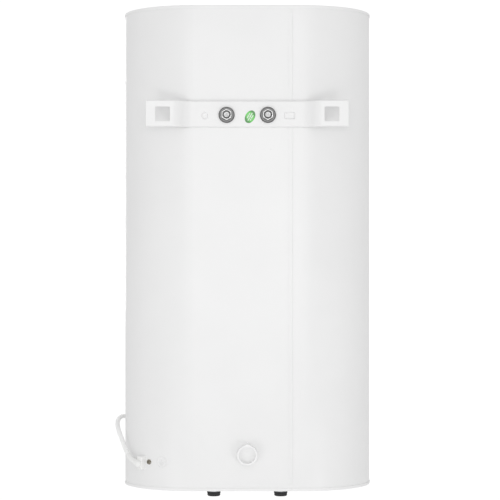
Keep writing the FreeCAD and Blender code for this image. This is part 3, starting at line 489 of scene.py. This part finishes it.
def ground():
    """Round pale floor that fades into the white backdrop towards its rim."""
    radius, drop = 2.6, 0.75
    fade_from, fade_to = 0.5, 2.3
    bm = bmesh.new()
    bmesh.ops.create_circle(bm, cap_ends=True, segments=128, radius=radius)
    mesh = bpy.data.meshes.new("floor")
    bm.to_mesh(mesh)
    bm.free()
    obj = bpy.data.objects.new("floor", mesh)
    obj.location = (0, MID_Y, UNDERSIDE - drop)
    bpy.context.scene.collection.objects.link(obj)
    made = Shader("floor", (0.86, 0.86, 0.86), 0.7)
    made.bump(made.noise(40.0, 3.0), 0.05, 0.001)
    away = made.length(made.place)
    fade = made.share(away, fade_from, fade_to, interpolation_type="SMOOTHSTEP")
    glow = made.node("ShaderNodeEmission", {"Color": (1, 1, 1, 1), "Strength": BACKDROP})
    mix = made.node("ShaderNodeMixShader", {"Fac": fade})
    made.tree.links.new(made.base.outputs[0], mix.inputs[1])
    made.tree.links.new(glow.outputs[0], mix.inputs[2])
    made.tree.links.new(mix.outputs[0], made.tree.nodes["Material Output"].inputs["Surface"])
    obj.data.materials.append(made.material)


# ---- supply cord --------------------------------------------------------------------------------
CORD_DIAMETER = 0.0082
COIL_TURN = -62.0                        # the coil's place round the +X end
COIL_HEIGHT = 0.058
COIL_RADIUS = 0.041
COIL_GAP = 0.003                         # from the casing to the coil
LAYER = CORD_DIAMETER / 2
CORD_ROUTE = [                           # turn, radius and height for around_end
    (40.6, 0.1376, 0.0478),
    (36.2, 0.1384, 0.0516),
    (31.4, 0.1386, 0.0585),
    (26.0, 0.1382, 0.0680),
    (20.2, 0.1384, 0.0805),
    (13.6, 0.1402, 0.0930),
    (5.6, 0.1426, 0.1045),
    (-3.6, 0.1436, 0.1135),
    (-13.0, 0.1434, 0.1190),
    (-21.8, 0.1428, 0.1185),
    (-29.6, 0.1424, 0.1115),
    (-35.8, 0.1422, 0.0995),
    (-40.2, 0.1423, 0.0840),
]
LEAD_ROUTE = [                           # side, out and height for coil_point
    (-0.0156, 0.0124, 0.0429),
    (-0.0016, 0.0124, 0.0457),
    (0.0126, 0.0125, 0.0439),
    (0.0256, 0.0129, 0.0379),
    (0.0360, 0.0136, 0.0281),
    (0.0429, 0.0145, 0.0156),
    (0.0457, 0.0154, 0.0024),
    (0.0462, 0.0160, -0.0100),
    (0.0456, 0.0162, -0.0220),
]


def coil_point(side, out, height):
    """Point by the coil's middle: along its face, away from the casing, and up."""
    normal = outward(COIL_TURN)
    centre = around_end(COIL_TURN, END_RADIUS + COIL_GAP + CORD_DIAMETER, COIL_HEIGHT)
    return centre + Vector((-normal.y, normal.x, 0)) * side + normal * out + Z * height


def eased(angle, start, end):
    """0 before a start angle, 1 after an end angle, smooth between."""
    t = min(max((angle - start) / (end - start), 0), 1)
    return t * t * (3 - 2 * t)


def coil_turns(per_turn=16, last=1308.0, change=120.0):
    """Four turns: the inner layer inwards, the outer layer outwards, then up on the face."""
    move_in, move_up, move_out, lift_off = 290.0, 590.0, 890.0, 1240.0
    hug = math.cos(math.pi / per_turn)
    points = [coil_point((COIL_RADIUS + LAYER) / hug, -LAYER, 0)]
    steps = int(last / 360 * per_turn)
    for k in range(1, steps + 1):
        angle = last * k / steps
        inward = eased(angle, move_in, move_in + change) - eased(angle, move_out, move_out + change)
        upward = eased(angle, move_up, move_up + change) + eased(angle, lift_off, last)
        radius = (COIL_RADIUS + LAYER - 2 * LAYER * inward) / hug
        turn = math.radians(angle)
        points.append(coil_point(radius * math.cos(turn), -LAYER + 2 * LAYER * upward,
                                 -radius * math.sin(turn)))
    return points


def nurbs(name, points, bevel):
    """Smooth curve near its points, round with a bevel's radius, or a bare line with none."""
    data = bpy.data.curves.new(name, "CURVE")
    data.dimensions = "3D"
    data.bevel_depth = bevel
    data.bevel_resolution = 6
    data.resolution_u = 8
    data.use_fill_caps = True
    line = data.splines.new("NURBS")
    line.points.add(len(points) - 1)
    for spot, point in zip(line.points, points):
        spot.co = (*point, 1)
    line.order_u = 3
    line.use_endpoint_u = True
    obj = bpy.data.objects.new(name, data)
    bpy.context.scene.collection.objects.link(obj)
    return obj


def line_of(points):
    """Points along the smooth line of a route."""
    plain = nurbs("route_line", points, 0)
    mesh = mesh_of(plain)
    line = [v.co.copy() for v in mesh.vertices]
    bpy.data.objects.remove(plain)
    bpy.data.meshes.remove(mesh)
    return line


def sweep(bm, line, radii, steps=24):
    """Closed tube along a line, with a radius for each of its points."""
    side = (line[1] - line[0]).normalized().orthogonal().normalized()
    turns = [2 * math.pi * n / steps for n in range(steps)]
    rings = []
    for k, (point, radius) in enumerate(zip(line, radii)):
        along = (line[min(k + 1, len(line) - 1)] - line[max(k - 1, 0)]).normalized()
        side = (side - along * side.dot(along)).normalized()
        over = along.cross(side)
        rings.append([bm.verts.new(point + (side * math.cos(t) + over * math.sin(t)) * radius)
                      for t in turns])
    return bridge(bm, rings, caps=True)


def strain_relief(points, reach=0.026, rings=5):
    """Tapered, grooved sleeve along the cord's first stretch out of the gland."""
    root, taper, groove_depth, parts = 0.0053, 0.0009, 0.0004, 8
    line, gone = [], 0.0
    whole = line_of(points)
    for a, b in zip(whole, whole[1:]):
        span = (b - a).length
        for k in range(parts):
            if gone + span * k / parts < reach:
                line.append((gone + span * k / parts, a.lerp(b, k / parts)))
        gone += span
    radii = []
    for at, _ in line:
        share = at / reach
        groove = 0.5 - 0.5 * math.cos(2 * math.pi * rings * share)
        radii.append(root - taper * share - groove_depth * groove * (1 - share))
    bm = sweep(bmesh.new(), [point for _, point in line], radii)
    return from_bmesh("strain_relief", bm, "gland_plastic", crease=60)


def supply_cord():
    """The cord in one line: round the side, four turns of coil, then up to the plug."""
    start = [around_end(*spot) for spot in CORD_ROUTE]
    end = [coil_point(*spot) for spot in LEAD_ROUTE]
    cord = nurbs("supply_cord", start + coil_turns() + end, CORD_DIAMETER / 2)
    dress(cord, "cord_sheath")
    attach(cord, "heater")
    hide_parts("power_cord", "cord_coil", "plug_lead")
    sleeve, tie = strain_relief(start), coil_tie()


# ---- marks and mouldings -------------------------------------------------------------------------
def ridge(bm, line, width, proud, on_surface, closed=False, sink=0.0002):
    """Low rounded moulding along a flat line, laid on a surface by on_surface(side, up, out)."""
    points = [Vector(p) for p in line]
    section = ((-0.5, -sink), (-0.42, proud * 0.6), (-0.25, proud),
               (0.25, proud), (0.42, proud * 0.6), (0.5, -sink))
    rows = []
    for k, point in enumerate(points):
        before = points[k - 1] if closed or k else point
        after = points[(k + 1) % len(points)] if closed or k + 1 < len(points) else point
        along = (after - before).normalized()
        across = Vector((-along.y, along.x)) * width
        row = [(point + across * share, out) for share, out in section]
        rows.append([bm.verts.new(on_surface(spot.x, spot.y, out)) for spot, out in row])
    return bridge(bm, rows, loop=closed, caps=not closed)


PRINT = 0.00006                          # how far print stands proud


def printed(bm, line, width, place):
    """A flat printed stroke."""
    return ridge(bm, line, width, PRINT, place, sink=0.00002)


def circle(radius, steps=48, start=0.0, end=360.0, centre=(0, 0)):
    """Points of a circle or arc; a full circle doesn't repeat its first point."""
    count = steps if end - start >= 360 else steps + 1
    turns = [math.radians(start + (end - start) * k / steps) for k in range(count)]
    return [(centre[0] + radius * math.cos(t), centre[1] + radius * math.sin(t)) for t in turns]


def on_end(turn, height):
    """A place function for the round +X end of the casing."""
    def place(side, rise, out):
        here = turn + math.degrees(side / END_RADIUS)
        return around_end(here, END_RADIUS + out, height + rise)
    return place


def on_front(x, z, y):
    """A place function for a face that looks along -Y."""
    return lambda side, rise, out: Vector((x + side, y - out, z + rise))


def on_back(x, z, y):
    """A place function for a face that looks along +Y."""
    return lambda side, rise, out: Vector((x - side, y + out, z + rise))


def on_underside(x, y):
    """A place function for the bottom cover's face."""
    return lambda side, rise, out: Vector((x + side, y + rise, UNDERSIDE - out))


def lettering(name, text, tall, place, slot):
    """Generic numbers, centred on a place that looks along -Y."""
    data = bpy.data.curves.new(name, "FONT")
    data.body = text
    data.size = tall
    data.align_x, data.align_y = "CENTER", "CENTER"
    data.extrude = 0.00004
    data.resolution_u = 4
    source = bpy.data.objects.new(name, data)
    bpy.context.scene.collection.objects.link(source)
    bpy.context.view_layer.update()
    mesh = mesh_of(source)
    bpy.data.objects.remove(source)
    mesh.transform(Matrix.Translation(place) @ Matrix.Rotation(math.radians(90), 4, "X"))
    return finished(name, mesh, slot)


def earth_symbol():
    """Earth sign embossed beside its screw: a ring, a stem and three bars."""
    x, height, proud = 0.152, 0.05, 0.0009
    turn = math.degrees(math.acos((x - SPREAD) / END_RADIUS))
    place = on_end(turn, height)
    bm = bmesh.new()
    ridge(bm, circle(0.0095), 0.0014, proud, place, closed=True)
    ridge(bm, [(0, 0.0065), (0, -0.0005)], 0.0013, proud, place)
    for k, half in enumerate((0.0052, 0.0035, 0.0018)):
        rise = -0.001 - 0.0022 * k
        ridge(bm, [(-half, rise), (half, rise)], 0.0012, proud, place)
    return from_bmesh("earth_symbol", bm, "casing_paint")


SEAM_X, SEAM_HALF, SEAM_PROUD = -0.077, 0.0035, 0.0009


def lock_seam():
    """Rolled edge of the casing's lock seam, with a crimp near each end."""
    past_cover_lip = 0.0095
    low, high = UNDERSIDE + past_cover_lip, TOP - past_cover_lip
    face = BACK_Y + SEAM_PROUD
    edge = SEAM_X - SEAM_HALF + 0.0009
    bm = bmesh.new()
    ridge(bm, [(0, low), (0, high)], 0.0016, 0.00035, on_back(edge, 0, face))
    for height in (low + 0.004, high - 0.004):
        ridge(bm, [(-0.003, 0), (0.003, 0)], 0.0022, 0.0005, on_back(SEAM_X, height, face))
    return from_bmesh("lock_seam", bm, "casing_paint")


def label_marks():
    """White generic bars across the check label, along its long way."""
    centre = middle("check_sticker")
    flat = on_back(centre.x, centre.z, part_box("check_sticker")[1].y)
    cos, sin = math.cos(LABEL_TILT), math.sin(LABEL_TILT)

    def place(side, rise, out):
        return flat(side * cos - rise * sin, side * sin + rise * cos, out)

    rows = ((0.0034, (-0.005, 0.001), (0.0022, 0.0055)),
            (0.0, (-0.0078, -0.002), (-0.0006, 0.0078)),
            (-0.0034, (-0.0055, -0.0028), (-0.0014, 0.005)))
    bm = bmesh.new()
    for rise, *bars in rows:
        for start, end in bars:
            printed(bm, [(start, rise), (end, rise)], 0.0016, place)
    return from_bmesh("label_marks", bm, "dial_white")


def hexagon_reach(turn, flats=HEAD_FLATS):
    """Middle to side of a hexagon head with a corner up, at a turn."""
    step = math.radians(60)
    return flats / 2 / math.cos((turn % step) - step / 2)


def bracket_bolt_heads():
    """Hexagon heads with a rim, a groove and a disc in the middle; they replace the CAD bolts."""
    low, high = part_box("bracket_bolts")
    x, z, tall = (high.x - low.x) / 2 - HEAD_FLATS / 2, (low.z + high.z) / 2, 0.0064
    radius, depth, half_pitch, plain = 0.005, 0.0003, 0.0009, 0.012
    bm = bmesh.new()
    for side in (-1, 1):
        base = Vector((side * x, high.y - tall, z))
        hex_head(bm, base, tall)
        tip = low.y - base.y
        thread = [(radius - depth * (k % 2), tip + half_pitch * k) for k in range(1, 20)]
        shank = [(0.0, tip), *thread, (radius, -plain), (radius, 0.0), (0.0, 0.0)]
        lathe(bm, shank, base, Y, 32)
    piece = from_bmesh("hexagon_bolts", bm, "bolt_steel", crease=28)
    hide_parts("bracket_bolts")


def hex_head(bm, base, tall, steps=96):
    """One head up +Y: its turned middle, then the hexagon's chamfer, edge and foot."""
    disc = ((0.0022, 0.0010), (0.0026, 0.0013), (0.0048, 0.0013), (0.0054, 0.0011))
    groove = ((0.0058, 0.0019), (0.0068, 0.0020))
    rim = ((0.0073, 0.0008), (0.0076, 0.0001), (0.0079, 0.0))
    chamfer_from, chamfer_slope, edge_drop = 0.0083, 0.6, 0.0002
    turns = [2 * math.pi * k / steps for k in range(steps)]

    def ring(reaches, heights):
        return [bm.verts.new(base + Vector((reach * math.cos(t), height, reach * math.sin(t))))
                for t, reach, height in zip(turns, reaches, heights)]

    rows = [[bm.verts.new(base + Vector((0, tall - 0.0011, 0)))]]
    for radius, depth in disc + groove + rim:
        rows.append(ring([radius] * steps, [tall - depth] * steps))
    edge = [hexagon_reach(t + math.radians(30)) for t in turns]
    for share, drop in ((0.965, 0.0), (1.0, edge_drop)):
        reaches = [reach * share for reach in edge]
        rows.append(ring(reaches, [tall - max(0.0, reach - chamfer_from) * chamfer_slope - drop
                                   for reach in reaches]))
    rows.append(ring(edge, [0.0] * steps))
    rows.append([bm.verts.new(base)])
    bridge(bm, rows)


def transport_caps():
    """Push-on caps with a ribbed waist between two rims."""
    bore, floor, ribs, rib_depth = 0.01025, 0.0023, 36, 0.00022

    def grip(angle, here, height):
        on_waist = here > 0.0112 and 0.002 < height < 0.0058
        return rib_depth * math.cos(ribs * angle) if on_waist else 0.0

    for side, body in (("inlet", "cold_cap"), ("outlet", "hot_cap")):
        low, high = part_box(f"{side}_cap")
        base = Vector(((low.x + high.x) / 2, (low.y + high.y) / 2, low.z))
        tall, radius = high.z - low.z, (high.x - low.x) / 2
        end = [(0, 0.0), (0.0098, 0.0), (0.0106, 0.0003), (0.0115, 0.0011), (0.0118, 0.0017)]
        waist = [(0.01165, 0.0022), (0.01165, 0.0052), (0.0119, 0.0056)]
        rim = [(radius, 0.0060), (radius, tall - 0.0004), (radius - 0.0003, tall)]
        inside = [(bore + 0.0004, tall), (bore, tall - 0.0005), (bore, floor), (0, floor)]
        bm = lathe(bmesh.new(), end + waist + rim + inside, base, Z, 144, grip)
        piece = from_bmesh(f"{side}_transport_cap", bm, "cap_black", body, 40)
        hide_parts(f"{side}_cap")


def stub_threads():
    """Pipe thread on the bare part of each stub."""
    crest, root, inside, turns = 0.01046, 0.01016, 0.0101, 13
    low_end, top, lead = -0.0157, -0.0042, 0.0002
    thread = [(crest if k % 2 else root, low_end + (top - low_end) * k / (turns * 2))
              for k in range(turns * 2 + 1)]
    profile = [(inside, low_end - lead), *thread, (inside, top)]
    for side in ("inlet", "outlet"):
        spot = middle(f"{side}_nipple")
        spot.z = UNDERSIDE
        bm = lathe(bmesh.new(), profile, spot, Z, 72)
        from_bmesh(f"{side}_thread", bm, "steel_plate", crease=20)


def cover_marks():
    """On the underside: a ring and a flow arrow at each stub, and two ribs along the edge."""
    shaft, barb, mark_proud = (0.028, 0.042), 0.004, 0.0005
    mid = sum(shaft) / 2
    bm = bmesh.new()
    for side, node in ((-1, "inlet_nipple"), (1, "outlet_nipple")):
        spot = middle(node)
        place = on_underside(spot.x, spot.y)
        ridge(bm, circle(0.0185, 72), 0.0018, 0.0009, place, closed=True)
        tip = -side * 0.006
        arrow = [(-barb, mid + tip * 0.3), (0, mid + tip), (barb, mid + tip * 0.3)]
        ridge(bm, [(0, rise) for rise in shaft], 0.0016, mark_proud, place)
        ridge(bm, arrow, 0.0014, mark_proud, place)
    for half in (0.110, 0.118):
        turns = [math.radians(t) for t in range(-90, 91, 3)]
        outline = [(SPREAD + half * math.cos(t), half * math.sin(t)) for t in turns]
        outline += [(-x, -y) for x, y in outline]
        ridge(bm, outline, 0.0012, mark_proud, on_underside(0, MID_Y), closed=True)
    return from_bmesh("cover_mouldings", bm, "cover_plastic")


def gland_details():
    """Clip across the foot of the gland's saddle."""
    half, drop, proud = 0.0052, 0.0098, 0.0084
    bm = ridge(bmesh.new(), [(-half, -drop), (half, -drop)], 0.0012, proud,
               on_end(44.5, 0.0465), sink=-0.007)
    return from_bmesh("gland_clip", bm, "gland_plastic")


def coil_tie():
    """Ratchet tie round the bundle's corners, with a head and a cut tail; replaces the CAD tie."""
    band, thick, corner = 0.0046, 0.0011, 0.0042
    reach = CORD_DIAMETER
    last_turn_lift = 0.0018              # the last turn already rises where the tie crosses it
    bm = bmesh.new()
    rows = []
    for quarter, (a, b) in enumerate(CORNERS):
        lift = last_turn_lift if (a, b) == (-1, 1) else 0
        for k in range(7):
            t = math.radians(90 * quarter + 15 * k)
            spot = Vector((a * (reach - corner) + corner * math.cos(t),
                           b * (reach - corner) + corner * math.sin(t) + lift))
            outer = spot + spot.normalized() * thick
            section = ((spot, -band / 2), (outer, -band / 2), (outer, band / 2), (spot, band / 2))
            rows.append([bm.verts.new(coil_point(-COIL_RADIUS + at.x, at.y, z))
                         for at, z in section])
    bridge(bm, rows, loop=True)
    normal = outward(COIL_TURN)
    sideways = Vector((-normal.y, normal.x, 0))
    turn = Matrix((sideways, normal, Z)).transposed().to_4x4()
    head = Matrix.Translation(coil_point(-COIL_RADIUS, CORD_DIAMETER + 0.0006, 0)) @ turn
    slab(bm, 0.0066, 0.0034, 0.0062, head @ Matrix.Translation((0, 0.0017, -0.0031)), 0.0008)
    slab(bm, 0.0016, 0.0070, 0.0040, head @ Matrix.Translation((0.0012, 0.0008, -0.0020)), 0.0004)
    piece = from_bmesh("ratchet_tie", bm, "tie_plastic")
    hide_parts("cord_tie")
    return piece


def plug_details():
    """Grip rings on the plug's tail and an earth contact on each flank."""
    plug_tall, tail_at, tail_radius, taper, proud = 0.038, 0.0205, 0.0094, 0.28, 0.0011
    before, last = (coil_point(*spot) for spot in LEAD_ROUTE[-2:])
    heading = (last - before).normalized()
    face = last + heading * plug_tall
    across = heading.cross(outward(COIL_TURN)).normalized()
    flank = heading.cross(across)
    bm = bmesh.new()
    for k in range(5):
        along = 0.003 * k
        radius = tail_radius - along * taper + proud
        ring = [(radius * 0.8, -0.0008), (radius, -0.0005), (radius, 0.0005),
                (radius * 0.8, 0.0008)]
        lathe(bm, ring, face - heading * (tail_at + along), -heading, 48)
    from_bmesh("plug_grip", bm, "plug_plastic")
    bm = bmesh.new()
    for side in (-1, 1):
        centre = face + flank * side * 0.0158 - heading * 0.0045
        turn = Matrix((across, heading, flank * side)).transposed().to_4x4()
        slab(bm, 0.0046, 0.0085, 0.0014, Matrix.Translation(centre) @ turn, 0.0005)
    from_bmesh("plug_earth_contacts", bm, "pin_metal")


# ---- front panel --------------------------------------------------------------------------------
FASCIA_Y = FASCIA_LOW.y


def dial_direction(angle):
    """Side and rise of a clock angle, in degrees clockwise from the top."""
    return Vector((math.sin(math.radians(angle)), math.cos(math.radians(angle))))


def panel_frame():
    """A shallow raised border round the panel's face."""
    inset, corner = 0.0035, 0.0055
    half_w = (FASCIA_HIGH.x - FASCIA_LOW.x) / 2 - inset
    half_t = (FASCIA_HIGH.z - FASCIA_LOW.z) / 2 - inset
    line = []
    for quarter, (a, b) in enumerate(CORNERS):
        centre = (a * (half_w - corner), b * (half_t - corner))
        line += circle(corner, 8, 90 * quarter, 90 * quarter + 90, centre)
    bm = ridge(bmesh.new(), line, 0.0011, 0.0004, on_front(0, PANEL_Z, FASCIA_Y), closed=True)
    return from_bmesh("panel_border", bm, "fascia_plastic")


def knob_scale():
    """Ticks, a widening band and numbers round the knob."""
    spot = middle("temperature_knob")
    place = on_front(spot.x, spot.z, FASCIA_Y)
    tick_from, tick, long_tick, numbers_at = 0.0192, 0.0212, 0.0222, 0.0243
    marks = bmesh.new()
    for k in range(10):
        way = dial_direction(30 * k)
        printed(marks, [way * tick_from, way * (tick if k % 3 else long_tick)], 0.0007, place)
    from_bmesh("knob_ticks", marks, "switch_black")
    inner, thin, growth, steps = 0.0184, 0.0002, 0.0013, 48
    band = bmesh.new()
    rows = []
    for k in range(steps + 1):
        way = dial_direction(30 + 240 * k / steps)
        outer = inner + (thin + growth * k / steps)
        section = ((inner, 0.0), (inner, PRINT), (outer, PRINT), (outer, 0.0))
        rows.append([band.verts.new(place(*(way * radius), out)) for radius, out in section])
    bridge(band, rows, caps=True)
    from_bmesh("knob_band", band, "needle_red")
    for k, name in enumerate(("off", "low", "half", "high")):
        way = dial_direction(90 * k) * numbers_at
        lettering(f"knob_number_{name}", str(k), 0.0042,
                  Vector((spot.x + way.x, FASCIA_Y - PRINT / 2, spot.z + way.y)), "switch_black")


def knob_details():
    """Knurled skirt and a marker line in the grip's groove; both turn with the knob."""
    low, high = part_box("temperature_knob")
    spot = Vector(((low.x + high.x) / 2, high.y, (low.z + high.z) / 2))
    radius = (high.x - low.x) / 2

    def knurl(angle, here, _):
        return 0.0003 * math.cos(60 * angle) if here > radius - 0.0002 else 0.0

    profile = [(radius - 0.002, 0.0004), (radius + 0.0001, 0.0005), (radius + 0.0001, 0.0017),
               (radius - 0.0012, 0.0032), (radius - 0.0027, 0.0035), (radius - 0.0030, 0.0006)]
    bm = lathe(bmesh.new(), profile, spot, -Y, 360, knurl)
    from_bmesh("knob_knurl", bm, "knob_plastic", "knob")
    groove = on_front(spot.x, spot.z, low.y + 0.0008)
    bm = ridge(bmesh.new(), [(0, 0.0035), (0, 0.0138)], 0.0009, 0.0003, groove)
    from_bmesh("knob_marker", bm, "needle_red", "knob")


def rocker_marks():
    """A line on the upper half of each rocker and a ring on the lower half."""
    ride, proud, from_middle, rest_tilt = 0.0034, 0.00008, 0.0055, -8
    slope = 0.0012 / 0.012
    for name, body in (("power", "power_switch"), ("boost", "boost_switch")):
        spot = middle(f"{name}_rocker")
        pivot = Vector((spot.x, FASCIA_Y + 0.0005, spot.z))
        tilt = (Matrix.Translation(pivot) @ Matrix.Rotation(math.radians(rest_tilt), 4, "X")
                @ Matrix.Translation(-pivot))

        def half(way):
            """A place function for the upper or lower half of the rocker's bent face."""
            def place(side, up, out):
                height = way * from_middle + up
                y = pivot.y - ride - way * height * slope - out
                return tilt @ Vector((pivot.x + side, y, pivot.z + height))
            return place

        bm = bmesh.new()
        ridge(bm, [(0, -0.0016), (0, 0.0016)], 0.0006, proud, half(1))
        ridge(bm, circle(0.0015, 32), 0.0005, proud, half(-1), closed=True)
        from_bmesh(f"{name}_rocker_marks", bm, "dial_white", body)


def lamp_bezels():
    """Thin chromed ring round each lamp."""
    low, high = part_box("lamp_lenses")
    radius = 0.0025
    ring = [(radius, 0.0), (radius, 0.0006), (0.0029, 0.0009), (0.0034, 0.0007), (0.0036, 0.0)]
    bm = bmesh.new()
    for x in (low.x + radius, high.x - radius):
        lathe(bm, ring, Vector((x, FASCIA_Y + 0.0001, (low.z + high.z) / 2)), -Y, 48)
    return from_bmesh("lamp_bezels", bm, "pin_metal")


def dial_face():
    """Ticks, numbers and a cold-to-hot band on the thermometer's dial."""
    centre = middle("thermometer_case")
    face = FASCIA_Y - 0.0004
    place = on_front(centre.x, centre.z, face)
    coldest, sweep_turn, numbers_at, band_at = -120, 240, 0.0079, 0.0129
    ticks = bmesh.new()
    for k in range(25):
        way = dial_direction(coldest + 10 * k)
        inner, width = (0.0108, 0.0003) if k % 4 else (0.0098, 0.0005)
        printed(ticks, [way * inner, way * 0.012], width, place)
    from_bmesh("dial_ticks", ticks, "switch_black")
    for name, start in (("cold", coldest), ("hot", 0)):
        line = [dial_direction(start + 5 * k) * band_at for k in range(25)]
        from_bmesh(f"dial_band_{name}", printed(bmesh.new(), line, 0.0009, place), f"{name}_ring")
    numbers = (10, 25, 40, 55, 70, 85)
    for k, number in enumerate(numbers):
        way = dial_direction(coldest + sweep_turn * k / (len(numbers) - 1)) * numbers_at
        lettering(f"dial_number_{number}", str(number), 0.0026,
                  Vector((centre.x + way.x, face - PRINT / 2, centre.z + way.y)), "switch_black")


camera()
supply_cord()
studio()
ground()
for make in (earth_symbol, lock_seam, label_marks, bracket_bolt_heads, transport_caps,
             stub_threads, cover_marks, gland_details, plug_details, panel_frame, knob_scale,
             knob_details, rocker_marks, lamp_bezels, dial_face):
    make()
